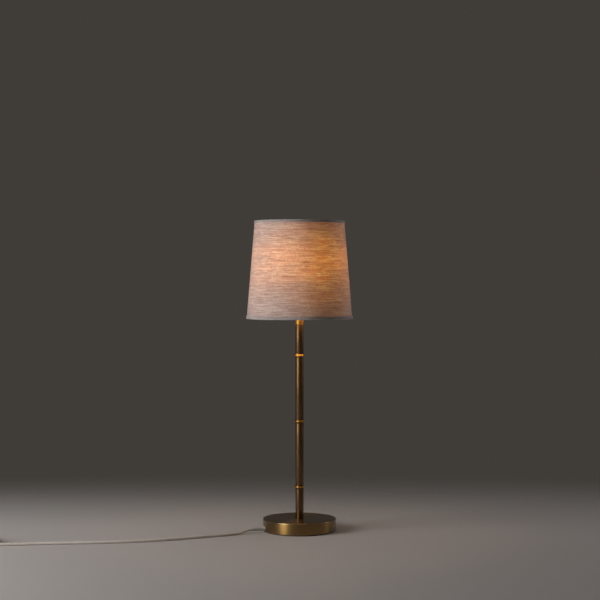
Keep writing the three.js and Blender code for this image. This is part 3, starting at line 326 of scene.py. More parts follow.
@dataclass(frozen=True)
class Moulded:
    """Moulded plastic, enamel or ceramic, with a faint orange-peel surface."""

    colour: Rgb
    shade: Rgb
    roughness: float
    coat: float = 0.0
    relief: float = 0.08
    grain: float = 500.0
    soft: float = 0.0

    def inputs(self, sheet: NodeSheet) -> Inputs:
        """Writes the finish on a sheet.

        Args:
            sheet: The sheet.

        Returns:
            The shader's inputs.
        """
        place = sheet.places()[0]
        clouds = sheet.grain(place, 60.0, 4.0)
        peel = sheet.grain(place, self.grain, 3.0)
        return {
            "Base Color": sheet.blend(sheet.between(clouds, 0.35, 0.7), self.colour, self.shade),
            "Roughness": sheet.varied(self.roughness, peel, 0.14),
            "Coat Weight": self.coat,
            "Coat Roughness": 0.12,
            "Subsurface Weight": self.soft,
            "Subsurface Scale": 0.006,
            "Subsurface Radius": (1.0, 0.92, 0.85),
            "Normal": sheet.bump(peel, self.relief, 0.0003),
        }


@dataclass(frozen=True)
class Felt:
    """Pressed or woven fibre, dark and matt."""

    colour: Rgb
    fibre: Rgb
    scale: float = 1800.0

    def inputs(self, sheet: NodeSheet) -> Inputs:
        """Writes the finish on a sheet.

        Args:
            sheet: The sheet.

        Returns:
            The shader's inputs.
        """
        fuzz = sheet.grain(sheet.places()[0], self.scale, 4.0, 0.75)
        return {
            "Base Color": sheet.blend(sheet.between(fuzz, 0.45, 0.75), self.colour, self.fibre),
            "Roughness": 0.97,
            "Sheen Weight": 0.35,
            "Sheen Roughness": 0.6,
            "Normal": sheet.bump(fuzz, 0.6, 0.0006),
        }


@dataclass(frozen=True)
class Glow:
    """The bulb's light as it comes through a sheet of the shade."""

    colour: Rgb
    level: float
    height: float = 512.7
    reach: float = 92.0
    falloff: float = 1.7
    thick: Rgb = (1.0, 0.31, 0.055)

    def amount(self, sheet: NodeSheet, height: Socket) -> Socket:
        """Gives the light's level at a height of the shade.

        Args:
            sheet: The sheet to write on.
            height: The point's height.

        Returns:
            The level.
        """
        away = sheet.scaled(height, 1.0 / (self.reach * MM), -self.height / self.reach)
        spread = sheet.scaled(away, away, 1.0)
        return sheet.times(sheet.sum("POWER", spread, -self.falloff), self.level)


@dataclass(frozen=True)
class Linen:
    """Slub linen: thick and thin threads across, fine threads up, lit from behind or not.

    Each layer of threads has its scales across and up, its place in the noise, its finer layers and
    its share. The last layer is the weft, which stands out most.
    """

    ground: Rgb
    pale: Rgb
    dark: Rgb
    glow: Glow | None = None
    radius: float = 94.0
    layers: tuple[tuple[float, ...], ...] = (
        (32.0, 450.0, 0.0, 4.0, 0.38),
        (10.0, 250.0, 5.0, 2.0, 0.20),
        (60.0, 760.0, 37.0, 2.0, 0.17),
        (330.0, 150.0, 11.0, 2.0, 0.14),
        (90.0, 1150.0, 17.0, 2.0, 0.11),
    )

    def inputs(self, sheet: NodeSheet) -> Inputs:
        """Writes the finish on a sheet.

        Args:
            sheet: The sheet.

        Returns:
            The shader's inputs.
        """
        _, _, angle, height = sheet.places()
        arc = sheet.times(angle, self.radius * MM)

        def threads(across: float, up: float, layer: float, detail: float) -> Socket:
            """Gives a noise stretched along the threads."""
            place = sheet.vector(sheet.times(arc, across), sheet.times(height, up), layer)
            return sheet.grain(place, 1.0, detail, 0.6)

        tone: object = 0.0
        for *layer, share in self.layers:
            weft = threads(*layer)
            tone = sheet.scaled(weft, share, tone)
        thin = sheet.between(tone, 0.45, 0.585)
        colour = sheet.blend(thin, self.ground, self.pale)
        slubs = sheet.between(threads(19.0, 430.0, 23.0, 3.0), 0.55, 0.66)
        thick = sheet.times(slubs, sheet.between(threads(60.0, 40.0, 29.0, 1.0), 0.4, 0.6))
        relief = sheet.scaled(thick, 0.4, sheet.sum("ADD", tone, weft))
        inputs = {
            "Base Color": sheet.blend(sheet.times(thick, 0.75), colour, self.dark),
            "Roughness": 0.92,
            "Specular IOR Level": 0.2,
            "Sheen Weight": 1.0,
            "Sheen Roughness": 0.45,
            "Sheen Tint": (0.80, 0.72, 0.76),
            "Normal": sheet.bump(relief, 0.7, 0.0005),
        }
        # Painted light: the bulb's light coming through the cloth is painted on as emission.
        if self.glow:
            sheer = sheet.between(tone, 0.40, 0.62, 0.70, 1.18)
            through = sheet.times(self.glow.amount(sheet, height), sheer)
            through = sheet.times(through, sheet.scaled(thick, -0.4, 1.0))
            # Painted light: this large noise is placed so that the shade glows brighter right of its front
            # and dimmer towards its sides.
            patchy_glow = sheet.between(threads(9.0, 22.0, 19.5, 2.0), 0.3, 0.7, 0.75, 1.2)
            tint = sheet.blend(thin, self.glow.thick, self.glow.colour)
            inputs["Emission Strength"] = 1.0
            inputs["Emission Color"] = sheet.blend(1.0, tint, sheet.times(through, patchy_glow), "MULTIPLY")
        return inputs


@dataclass(frozen=True)
class Lining:
    """The shade's translucent plastic sheet, seen from inside, with the bulb's light on it painted on as a
    glow.
    """

    colour: Rgb
    glow: Glow

    def inputs(self, sheet: NodeSheet) -> Inputs:
        """Writes the finish on a sheet.

        Args:
            sheet: The sheet.

        Returns:
            The shader's inputs.
        """
        place, _, _, height = sheet.places()
        clouds = sheet.between(sheet.grain(place, 45.0, 4.0), 0.3, 0.7, 0.9, 1.1)
        level = sheet.times(self.glow.amount(sheet, height), clouds)
        return {
            "Base Color": self.colour,
            "Roughness": 0.45,
            "Emission Strength": 1.0,
            "Emission Color": sheet.blend(1.0, self.glow.colour, level, "MULTIPLY"),
            "Normal": sheet.bump(sheet.grain(place, 1400.0, 2.0), 0.1, 0.0002),
        }


@dataclass(frozen=True)
class LitGlass:
    """The opal globe, brightest round the middle and dimmer at the neck."""

    colour: Rgb
    glow: Rgb
    level: float
    neck: float = 459.7
    full: float = 493.7

    def inputs(self, sheet: NodeSheet) -> Inputs:
        """Writes the finish on a sheet.

        Args:
            sheet: The sheet.

        Returns:
            The shader's inputs.
        """
        place, _, _, height = sheet.places()
        lit = sheet.between(height, self.neck * MM, self.full * MM, 0.35, 1.0)
        haze = sheet.between(sheet.grain(place, 40.0), 0.3, 0.7, 0.96, 1.0)
        return {
            "Base Color": self.colour,
            "Roughness": 0.22,
            "Emission Strength": self.level,
            "Emission Color": sheet.blend(1.0, self.glow, sheet.times(lit, haze), "MULTIPLY"),
        }


@dataclass(frozen=True)
class ClearGlass:
    """The bulb's inner mount."""

    colour: Rgb

    def inputs(self, sheet: NodeSheet) -> Inputs:
        """Gives the shader's inputs, with the nodes that they need written on a sheet."""
        relief = sheet.bump(sheet.grain(sheet.places()[0], 700.0, 2.0), 0.05, 0.0002)
        return {"Base Color": self.colour, "Roughness": 0.06, "Transmission Weight": 0.9, "Normal": relief}


Finish = Metal | Moulded | Felt | Linen | Lining | LitGlass | ClearGlass

THREAD_GLOW = Glow((1.0, 0.45, 0.065), 0.515, height=515.7, reach=80.0, falloff=1.5, thick=(1.0, 0.24, 0.0))
INNER_GLOW = Glow((1.0, 0.58, 0.24), 0.7, falloff=0.8)

FINISHES: dict[Slot, Finish] = {
    Slot.AGED_BRASS: Metal(
        (0.30, 0.172, 0.04), (0.19, 0.105, 0.024), 0.36, patches=0.3, stretch=0.75, worn=((69.6, 23.1),),
        lacquer=1.0, drawn_tone=(0.47, 0.37, 0.19), bulb_lit_tone=(2.3, 1.6, 0.45),
    ),
    Slot.BRIGHT_BRASS: Metal(
        (0.84, 0.43, 0.06), (0.58, 0.27, 0.035), 0.42, lines=0.06, patches=0.4, stretch=0.5,
        lacquer=0.5, flare_shade=(0.07, 0.04, 0.012), lower_rings_shade=0.75,
    ),
    Slot.PLAIN_BRASS: Metal((0.66, 0.50, 0.25), (0.42, 0.30, 0.13), 0.33),
    Slot.CAST_IRON: Moulded((0.05, 0.05, 0.05), (0.09, 0.085, 0.08), 0.75, relief=0.7, grain=320.0),
    Slot.DARK_FELT: Felt((0.022, 0.02, 0.019), (0.06, 0.055, 0.05)),
    Slot.ZINC_STEEL: Metal((0.50, 0.51, 0.53), (0.34, 0.36, 0.38), 0.36),
    Slot.BLACK_PHENOLIC: Moulded((0.018, 0.014, 0.012), (0.032, 0.024, 0.02), 0.34, coat=0.3),
    Slot.WHITE_INSULATOR: Moulded((0.80, 0.78, 0.72), (0.74, 0.71, 0.64), 0.5),
    Slot.WHITE_ENAMEL: Moulded((0.80, 0.78, 0.73), (0.72, 0.69, 0.63), 0.32, coat=0.4),
    Slot.LINEN: Linen((0.345, 0.285, 0.272), (0.465, 0.435, 0.435), (0.17, 0.11, 0.115), THREAD_GLOW),
    Slot.LINEN_TRIM: Linen((0.35, 0.305, 0.285), (0.44, 0.385, 0.365), (0.17, 0.125, 0.12)),
    Slot.SHADE_LINER: Lining((0.84, 0.79, 0.70), INNER_GLOW),
    Slot.OPAL_GLASS: LitGlass((0.95, 0.88, 0.75), (1.0, 0.72, 0.42), 12.0),
    Slot.CLEAR_GLASS: ClearGlass((0.92, 0.95, 0.94)),
    Slot.NICKEL: Metal((0.66, 0.64, 0.60), (0.50, 0.48, 0.44), 0.24, lines=0.06),
    Slot.BLACK_GLASS: Moulded((0.012, 0.012, 0.014), (0.02, 0.02, 0.022), 0.12, coat=0.5),
    Slot.TUNGSTEN: Metal((0.30, 0.29, 0.28), (0.20, 0.19, 0.18), 0.45),
    Slot.LEAD_SHEATH: Moulded((0.64, 0.592, 0.55), (0.59, 0.545, 0.505), 0.5, soft=1.0),
    Slot.BROWN_CORE: Moulded((0.16, 0.07, 0.03), (0.12, 0.05, 0.022), 0.45),
    Slot.BLUE_CORE: Moulded((0.04, 0.12, 0.38), (0.03, 0.09, 0.30), 0.45),
    Slot.TIE_STRAP: Felt((0.03, 0.028, 0.026), (0.075, 0.07, 0.065), 1200.0),
}


class Palette:
    """Makes each finish's material once, and dresses pieces with it."""

    def __init__(self) -> None:
        """Starts with no material made."""
        self.made: dict[Slot, bpy.types.Material] = {}

    def material(self, slot: Slot) -> bpy.types.Material:
        """Gives a slot's material.

        Args:
            slot: The slot.

        Returns:
            Its material.
        """
        if slot not in self.made:
            sheet = NodeSheet(bpy.data.materials.new(slot.value))
            self.made[slot] = sheet.finish(FINISHES[slot].inputs(sheet))
        return self.made[slot]

    def paint(self, data: bpy.types.ID, slot: Slot) -> None:
        """Leaves a mesh or a curve with one material."""
        data.materials.clear()
        data.materials.append(self.material(slot))

    def dress(self, piece: Piece, slot: Slot, body: Body, *nodes: str) -> Piece:
        """Gives a new piece its finish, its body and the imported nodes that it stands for.

        Args:
            piece: The piece.
            slot: Its finish.
            body: The body that it moves with.
            *nodes: The nodes that it replaces.

        Returns:
            The piece.
        """
        self.paint(piece.data, slot)
        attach(piece, body.value)
        if nodes:
            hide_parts(*nodes)
        LOG.info("%s rides on %s in %s", piece.name, body.value, slot.value)
        return piece

    def dress_packed(self, frame: dict) -> None:
        """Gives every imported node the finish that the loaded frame's record names for it."""
        for row in frame["record"]["subparts"]:
            self.paint(frame["nodes"][row["node"]].data, Slot(row["material_slot"]))


# Meshes


def turns(count: int) -> list[float]:
    """Gives the angles of the points of a circle."""
    return [TURN * side / count for side in range(count)]


def polar(angle: float, radius: float, height: float) -> Vector:
    """Gives the point at an angle round the lamp's axis, a distance from it and a height."""
    return Vector((radius * math.cos(angle), radius * math.sin(angle), height))


def ease(share: float) -> float:
    """Smooths a share from 0 to 1 at both its ends."""
    return share * share * (3 - 2 * share)


def faded(value: float, start: float, end: float, over: float) -> float:
    """Gives a share of 1, less over a length at each end of a range, and below 0 past its ends."""
    return min(1.0, (value - start) / over, (end - value) / over)


def stages(start: float, end: float, count: int) -> list[float]:
    """Gives evenly spaced values with both ends."""
    return [start + (end - start) * step / count for step in range(count + 1)]


def pose(offset: Sequence[float], *spins: tuple[float, str]) -> Matrix:
    """Gives the move that turns a shape and then shifts it.

    Args:
        offset: The shift.
        *spins: Each turn's angle, in degrees, and its axis. The last turn comes first.

    Returns:
        The move.
    """
    turned = Matrix.Identity(4)
    for degrees, axis in spins:
        turned = turned @ Matrix.Rotation(math.radians(degrees), 4, axis)
    return Matrix.Translation(offset) @ turned


def arc_between(start: Flat | Vector, control: Flat | Vector, end: Flat | Vector, steps: int) -> list[Flat]:
    """Gives the points of a curve with one control point.

    Args:
        start: Its first point.
        control: The point that it bends towards.
        end: Its last point.
        steps: How many steps it takes.

    Returns:
        The points, with both ends.
    """
    first, middle, last = Vector(start), Vector(control), Vector(end)
    shares = [step / steps for step in range(steps + 1)]
    return [tuple(first.lerp(middle, t).lerp(middle.lerp(last, t), t)) for t in shares]


def rounded(corners: Sequence[Corner], closed: bool = False, steps: int = 4) -> list[Flat]:
    """Rounds the corners of a profile.

    Args:
        corners: Each corner's radius, height and fillet.
        closed: Whether the last corner joins the first. If not, neither is rounded.
        steps: How many steps a fillet takes.

    Returns:
        The profile's points.
    """
    points: list[Flat] = []
    count = len(corners)
    for index, (radius, height, fillet) in enumerate(corners):
        if not fillet or not (closed or 0 < index < count - 1):
            points.append((radius, height))
            continue
        here = Vector((radius, height))
        before, after = (Vector(corners[(index + way) % count][:2]) - here for way in (-1, 1))
        setback = min(fillet, 0.49 * before.length, 0.49 * after.length)
        start, end = (here + side.normalized() * setback for side in (before, after))
        points += arc_between(start, here, end, steps)
    return points


def in_scene(name: str, data: bpy.types.ID) -> Piece:
    """Makes an object of some data and links it to the scene.

    Args:
        name: The object's name.
        data: Its mesh, curve, lamp or camera.

    Returns:
        The object.
    """
    made = bpy.data.objects.new(name, data)
    bpy.context.scene.collection.objects.link(made)
    return made


class Shell:
    """Vertices, in millimetres, and faces, gathered until a piece is whole."""

    def __init__(self) -> None:
        """Starts with nothing."""
        self.vertices: list[Vector] = []
        self.faces: list[tuple[int, ...]] = []

    def rows(self, rows: Sequence[Sequence[Vector]], around: bool, ends: bool, loop: bool = False) -> Self:
        """Adds a skin over rows of points with as many points in each.

        Args:
            rows: The rows.
            around: Whether each row closes on itself.
            ends: Whether the first and last rows are filled.
            loop: Whether the last row joins the first.

        Returns:
            The shell.
        """
        base = len(self.vertices)
        width = len(rows[0])
        for row in rows:
            self.vertices.extend(row)
        for index in range(len(rows) if loop else len(rows) - 1):
            low = base + index * width
            high = base + ((index + 1) % len(rows)) * width
            for column in range(width if around else width - 1):
                beside = (column + 1) % width
                self.faces.append((low + column, low + beside, high + beside, high + column))
        if ends:
            self.faces.append(tuple(range(base + width - 1, base - 1, -1)))
            top = base + (len(rows) - 1) * width
            self.faces.append(tuple(range(top, top + width)))
        return self

    def turned(self, profile: Sequence[Flat], sides: int, swell: Swell | None = None) -> Self:
        """Adds a solid turned about the lamp's axis.

        Args:
            profile: Radius and height of each point, from the axis to the axis, or off the axis
                and round a hole.
            sides: How many sides a circle has.
            swell: What is added to a radius, from the angle, the radius and the height.

        Returns:
            The shell.
        """
        on_axis = [profile[end][0] == 0.0 for end in (0, -1)]
        body = profile[on_axis[0] : len(profile) - on_axis[1]]
        base = len(self.vertices)
        rows = []
        for radius, height in body:
            reach = [radius + (swell(angle, radius, height) if swell else 0.0) for angle in turns(sides)]
            rows.append([polar(angle, out, height) for angle, out in zip(turns(sides), reach)])
        self.rows(rows, around=True, ends=False, loop=not any(on_axis))
        for axis, first, point in zip(on_axis, (0, len(body) - 1), (profile[0], profile[-1])):
            if axis:
                centre, low = len(self.vertices), base + first * sides
                self.vertices.append(Vector((0.0, 0.0, point[1])))
                self.faces += [(low + side, low + (side + 1) % sides, centre) for side in range(sides)]
        return self

    def swept(self, path: Sequence[Vector], radius: float, sides: int, loop: bool = False) -> Self:
        """Adds a round wire along a path.

        Args:
            path: Its points.
            radius: The wire's radius.
            sides: How many sides it has.
            loop: Whether it closes on itself.

        Returns:
            The shell.
        """
        count = len(path)
        rows = []
        normal = Vector((0.0, 0.0, 1.0))
        for index, point in enumerate(path):
            before = path[index - 1] if index or loop else point
            after = path[(index + 1) % count] if index < count - 1 or loop else point
            along = (after - before).normalized()
            if abs(along.dot(normal)) > 0.99:
                normal = along.orthogonal()
            normal = (normal - along * along.dot(normal)).normalized()
            aside = along.cross(normal)
            rows.append([point + radius * (math.cos(t) * normal + math.sin(t) * aside) for t in turns(sides)])
        return self.rows(rows, around=True, ends=not loop, loop=loop)

    def bead(self, centre: Vector, size: Corner, steps: int = 10) -> Self:
        """Adds a rounded blob, such as a weld.

        Args:
            centre: Its middle.
            size: Its reach along each axis.
            steps: How many steps it has from pole to pole.

        Returns:
            The shell.
        """
        angles = [math.pi * step / steps for step in range(1, steps)]
        half = [(math.sin(angle), -math.cos(angle)) for angle in angles]
        start = len(self.vertices)
        self.turned([(0.0, -1.0), *half, (0.0, 1.0)], 2 * steps)
        reach = Vector(size)
        for vertex in self.vertices[start:]:
            vertex.x, vertex.y, vertex.z = (centre[axis] + reach[axis] * vertex[axis] for axis in range(3))
        return self

    def moved(self, place: Matrix) -> Self:
        """Moves what the shell holds so far, in millimetres."""
        self.vertices = [place @ vertex for vertex in self.vertices]
        return self

    def piece(self, name: str, crease: float = 40.0) -> Piece:
        """Makes the piece.

        Args:
            name: Its name.
            crease: The angle over which an edge stays sharp, in degrees.

        Returns:
            The piece, in metres.
        """
        mesh = bpy.data.meshes.new(name)
        mesh.from_pydata([vertex * MM for vertex in self.vertices], [], self.faces)
        work = bmesh.new()
        work.from_mesh(mesh)
        bmesh.ops.remove_doubles(work, verts=work.verts, dist=1e-7)
        bmesh.ops.recalc_face_normals(work, faces=work.faces)
        work.to_mesh(mesh)
        work.free()
        mesh.shade_smooth()
        mesh.set_sharp_from_angle(angle=math.radians(crease))
        return in_scene(name, mesh)


@dataclass(frozen=True)
class Thread:
    """A rounded thread on one wall of a turned piece, which fades out at both ends."""

    wall: float
    start: float
    end: float
    pitch: float
    rise: float
    fade: float
    origin: float = 0.0
    power: float = 1.0

    def swell(self, angle: float, radius: float, height: float) -> float:
        """Gives what the thread adds to a radius.

        Args:
            angle: The angle round the axis.
            radius: The radius.
            height: The height.

        Returns:
            The thread's rise there, or its depth if it is sunk.
        """
        if abs(radius - self.wall) > 0.1 or not self.start < height < self.end:
            return 0.0
        phase = ((height - self.origin) / self.pitch - angle / TURN) % 1.0
        wave = (0.5 - 0.5 * math.cos(TURN * phase)) ** self.power
        return self.rise * wave * faded(height, self.start, self.end, self.fade)


def rod(radius: float, low: float, high: float) -> list[Flat]:
    """Gives the profile of a plain rod on the lamp's axis, from its axis to its axis."""
    return [(0.0, low), (radius, low), (radius, high), (0.0, high)]


def smooth_path(points: Sequence[Vector], steps: int) -> list[Vector]:
    """Runs one smooth curve through a route's points.

    Args:
        points: The route.
        steps: How many steps each span takes.

    Returns:
        The curve's points.
    """
    route = [2 * points[0] - points[1], *points, 2 * points[-1] - points[-2]]
    curve = [points[0].copy()]
    for before, start, end, after in zip(route, route[1:], route[2:], route[3:]):
        gaps = [math.sqrt((b - a).length) for a, b in ((before, start), (start, end), (end, after))]
        leave = (start - before) / gaps[0] - (end - before) / (gaps[0] + gaps[1]) + (end - start) / gaps[1]
        arrive = (end - start) / gaps[1] - (after - start) / (gaps[1] + gaps[2]) + (after - end) / gaps[2]
        leave, arrive = leave * gaps[1], arrive * gaps[1]
        for step in range(1, steps + 1):
            t = step / steps
            curve.append(
                (2 * t**3 - 3 * t**2 + 1) * start
                + (t**3 - 2 * t**2 + t) * leave
                + (3 * t**2 - 2 * t**3) * end
                + (t**3 - t**2) * arrive
            )
    return curve


def bored(piece: Piece, cutter: Piece) -> Piece:
    """Cuts one piece with another and deletes the cutter.

    Args:
        piece: The piece to cut.
        cutter: The cutting piece.

    Returns:
        The cut piece.
    """
    cut = piece.modifiers.new("bore", "BOOLEAN")
    cut.operation = "DIFFERENCE"
    cut.solver = "EXACT"
    cut.object = cutter
    graph = bpy.context.evaluated_depsgraph_get()
    mesh = bpy.data.meshes.new_from_object(piece.evaluated_get(graph))
    piece.modifiers.clear()
    piece.data = mesh
    bpy.data.objects.remove(cutter)
    return piece


# The studio


@dataclass
class Lamp:
    """A soft studio lamp, placed round the subject."""

    name: str
    azimuth: float
    elevation: float
    distance: float
    size: Flat
    level: float
    colour: Rgb
    shine: bool = True
    matt: bool = True

    def hang(self, target: Vector) -> None:
        """Makes the lamp, turned to a target.

        Args:
            target: The point that it lights.
        """
        turn, rise = math.radians(self.azimuth), math.radians(self.elevation)
        away = Vector((math.sin(turn) * math.cos(rise), -math.cos(turn) * math.cos(rise), math.sin(rise)))
        data = bpy.data.lights.new(self.name, "AREA")
        data.shape = "RECTANGLE"
        data.size, data.size_y = self.size
        data.color = self.colour
        data.energy = self.level * (math.pi * self.distance) ** 2
        lamp = in_scene(self.name, data)
        lamp.location = target + away * self.distance
        lamp.visible_glossy = self.shine
        lamp.visible_diffuse = self.matt
        lamp.rotation_mode = "QUATERNION"
        lamp.rotation_quaternion = away.to_track_quat("Z", "Y")


@dataclass
class Studio:
    """The camera, the lamps, the world and the floor, in metres."""

    eye: Corner = (0.00096, -2.85, 0.4817)
    lens: float = 89.4
    sensor: float = 36.0
    pitch: float = 0.807
    target: Corner = (0.0, 0.0, 0.30)
    backdrop: Rgb = (0.052, 0.0455, 0.0395)
    fill: Rgb = (0.065, 0.061, 0.057)
    floor: Rgb = (0.56, 0.527, 0.517)
    floor_centre: Flat = (-0.15, -0.75)
    floor_reach: Flat = (2.6, 1.65)
    floor_fade: Flat = (0.45, 0.97)

    def set_camera(self) -> None:
        """Puts the camera where the photograph was taken from."""
        data = bpy.data.cameras.new("camera")
        data.lens = self.lens
        data.sensor_width = self.sensor
        camera = in_scene("camera", data)
        camera.location = self.eye
        camera.rotation_euler = (math.radians(90.0 - self.pitch), 0.0, 0.0)
        bpy.context.scene.camera = camera

    def set_lamps(self) -> None:
        """Hangs the key lamp on the left with the one that metal mirrors, and a weak pair on the right."""
        lamps = (
            Lamp("gleam", -51.0, 13.0, 1.9, (0.6, 1.1), 0.44, (1.0, 0.985, 0.97), matt=False),
            Lamp("key", -67.0, 12.0, 1.9, (0.9, 1.2), 0.805, (1.0, 0.985, 0.97), shine=False),
            Lamp("rim", 127.0, 3.0, 1.8, (0.7, 0.6), 0.15, (0.95, 0.93, 1.0), shine=False),
            Lamp("strip", 97.0, 12.0, 1.8, (0.08, 1.0), 0.045, (1.0, 0.96, 0.9)),
        )
        for lamp in lamps:
            lamp.hang(Vector(self.target))

    def set_world(self) -> None:
        """Gives the world its backdrop, which metal and glass show too, and a soft fill."""
        bpy.context.scene.world = bpy.data.worlds.new("studio")
        sheet = NodeSheet(bpy.context.scene.world, "ShaderNodeOutputWorld")
        rays = sheet.node("ShaderNodeLightPath", {}).outputs
        seen = sheet.sum("MAXIMUM", rays["Is Camera Ray"], rays["Is Glossy Ray"])
        shown = sheet.sum("MAXIMUM", seen, rays["Is Transmission Ray"])
        sheet.finish({0: sheet.blend(shown, self.fill, self.backdrop)}, "ShaderNodeBackground")
        bpy.context.scene.view_settings.view_transform = "Standard"

    def set_floor(self) -> None:
        """Lays a plain pale floor that fades into the backdrop at its edge."""
        mesh = bpy.data.meshes.new("floor")
        (x, y), (wide, deep) = self.floor_centre, self.floor_reach
        sides = ((-wide, -deep), (wide, -deep), (wide, deep), (-wide, deep))
        mesh.from_pydata([(x + across, y + along, 0) for across, along in sides], [], [(0, 1, 2, 3)])
        floor = in_scene("floor", mesh)
        sheet = NodeSheet(bpy.data.materials.new("floor"))
        place, *ways = sheet.split()
        steps = [
            sheet.scaled(way, 1.0 / reach, -centre * (1.0 / reach))
            for way, centre, reach in zip(ways, self.floor_centre, self.floor_reach)
        ]
        fade = sheet.between(sheet.length(*steps), *self.floor_fade)
        peel = sheet.between(sheet.grain(place, 90.0, 3.0), 0.3, 0.7, 0.50, 0.56)
        inputs = {"Base Color": self.floor, "Roughness": peel, "Specular IOR Level": 0.35}
        paint = sheet.node("ShaderNodeBsdfPrincipled", inputs).outputs[0]
        clear = sheet.node("ShaderNodeBsdfTransparent", {}).outputs[0]
        mesh.materials.append(sheet.finish({0: fade, 1: paint, 2: clear}, "ShaderNodeMixShader"))


# The mains lead


@dataclass
class Assembly:
    """Pieces of the lamp that are made together, with the finishes that they share."""

    palette: Palette


@dataclass
class MainsLead(Assembly):
    """The free lead on the surface, its coil, its tie, its plug and its strain relief."""

    diameter: float = 5.2
    exit_azimuth: float = 199.0
    exit_height: float = 7.1
    exit_radius: float = 94.3
    rest: float = 2.8
    route: tuple[Corner, ...] = (
        (-93.0, -32.02, 4.25), (-97.6, -34.6, 3.4), (-102.6, -39.4, 2.1), (-108.5, -46.0, 0.8),
        (-116.0, -52.0, 0.1), (-125.6, -57.8, 0.0), (-143.8, -67.7, 0.0), (-163.6, -77.2, 0.0),
        (-190.7, -90.7, 0.0), (-220.8, -105.8, 0.0), (-252.9, -119.3, 0.0), (-289.0, -130.8, 0.0),
        (-331.2, -140.4, 0.0), (-376.3, -147.4, 0.0), (-421.5, -152.4, 0.0), (-466.7, -157.4, 0.0),
        (-509.8, -163.7, 0.0), (-546.9, -169.3, 0.0), (-570.0, -171.3, 0.5), (-584.0, -171.5, 1.0),
    )
    coil_centre: Flat = (-600.0, -132.0)
    coil_radius: float = 39.5
    coil_turns: float = 6.25
    coil_pitch: float = 5.75
    coil_height: float = 4.1
    coil_steps: int = 48
    tail: float = 50.0
    tail_sag: tuple[Flat, ...] = ((0.2, 0.97), (0.5, 0.42), (0.78, 0.55))
    strap_half: float = 4.0
    strap_lap: float = 0.8
    strap_thick: float = 0.75
    plug_height: float = 7.15
    plug_neck: float = 14.0
    plug_grip: float = 30.2
    pin_spread: float = 9.3
    length: float = 1.8

    def exit(self) -> Vector:
        """Gives the point where the lead leaves its strain relief."""
        return polar(math.radians(self.exit_azimuth), self.exit_radius, self.exit_height)

    def exit_pose(self) -> Matrix:
        """Gives the move that lays a shape on the lead's way through the foot's wall."""
        return pose((0.0, 0.0, self.exit_height), (self.exit_azimuth, "Z"), (90.0, "Y"))

    def coil_point(self, turn: float) -> Vector:
        """Gives a point of the coil's middle line.

        Args:
            turn: How many turns in.

        Returns:
            The point.
        """
        half = self.coil_turns / 2
        radius = self.coil_radius - self.coil_pitch * (half - abs(turn - half))
        climb = ease(min(max((turn - half + 0.25) / 0.5, 0.0), 1.0))
        angle = math.radians(270.0) - TURN * turn
        x, y = self.coil_centre
        height = self.coil_height + self.coil_pitch * climb
        return Vector((x + radius * math.cos(angle), y + radius * math.sin(angle), height))

    def centreline(self) -> list[Vector]:
        """Gives the lead's middle line, from the strain relief to the plug.

        Returns:
            The line's points.
        """
        run = [self.exit(), *(Vector((x, y, self.rest + lift)) for x, y, lift in self.route)]
        entry = self.coil_point(0.0) - Vector((self.diameter, 0.0, 0.0))
        steps = round(self.coil_turns * self.coil_steps)
        loops = [self.coil_point(self.coil_turns * step / steps) for step in range(steps + 1)]
        end = loops[-1] + Vector((0.0, self.diameter, 0.0))
        tail = [end, end + Vector((0.0, 4.0, 0.0))]
        for share, height in self.tail_sag:
            tail.append(Vector((end.x, end.y + share * self.tail, height * end.z)))
        for past in (-4.0, 1.0):
            tail.append(Vector((end.x, end.y + self.tail + past, self.plug_height)))
        return [*smooth_path([*run, entry], 8), *loops, *smooth_path(tail, 6)]

    def build(self) -> None:
        line = self.centreline()
        data = bpy.data.curves.new("mains_lead", "CURVE")
        data.dimensions = "3D"
        data.bevel_depth = self.diameter / 2 * MM
        data.bevel_resolution = 4
        data.use_fill_caps = True
        spline = data.splines.new("POLY")
        spline.points.add(len(line) - 1)
        for place, point in zip(spline.points, line):
            place.co = (*(point * MM), 1.0)
        dress = self.palette.dress
        lead = in_scene("mains_lead", data)
        dress(lead, Slot.LEAD_SHEATH, Body.BASE, "lead_run", "lead_coil", "lead_tail")
        plug = self.plug(line[-1] - Vector((0.0, 1.0, 0.0)))
        strap = dress(self.strap(), Slot.TIE_STRAP, Body.BASE, "lead_tie")
        self.exit() * MM
        dress(self.relief(), Slot.LEAD_SHEATH, Body.BASE, "strain_relief")

    def strap(self) -> Piece:
        """Makes the hook strap round the coil, with its lapped end.

        Returns:
            The strap.
        """
        wire, half, fillet = self.diameter / 2, self.strap_half, 2.2
        low, high = self.coil_height - wire - 0.5, self.coil_height + self.coil_pitch + wire + 0.5
        inner = self.coil_radius - self.coil_pitch * self.coil_turns / 2 - wire - 1.0
        outer = self.coil_radius + wire + 0.5
        corners = ((inner, low), (outer, low), (outer, high), (inner, high))
        line = rounded([(*corner, fillet) for corner in corners], closed=True, steps=6)
        shell = Shell()
        for lift, path in ((0.0, [*line, line[0]]), (self.strap_lap, line[13:27])):
            rows = []
            for index, point in enumerate(path):
                ahead = Vector(path[min(index + 1, len(path) - 1)]) - Vector(path[max(index - 1, 0)])
                out = Vector((ahead.y, -ahead.x)).normalized()
                under = Vector(point) + out * lift
                over = under + out * self.strap_thick
                ring = ((under, -half), (over, -half), (over, half), (under, half))
                rows.append([Vector((spot.x, side, spot.y)) for spot, side in ring])
            shell.rows(rows, around=True, ends=True)
        return shell.moved(pose((*self.coil_centre, 0.0))).piece("coil_strap")

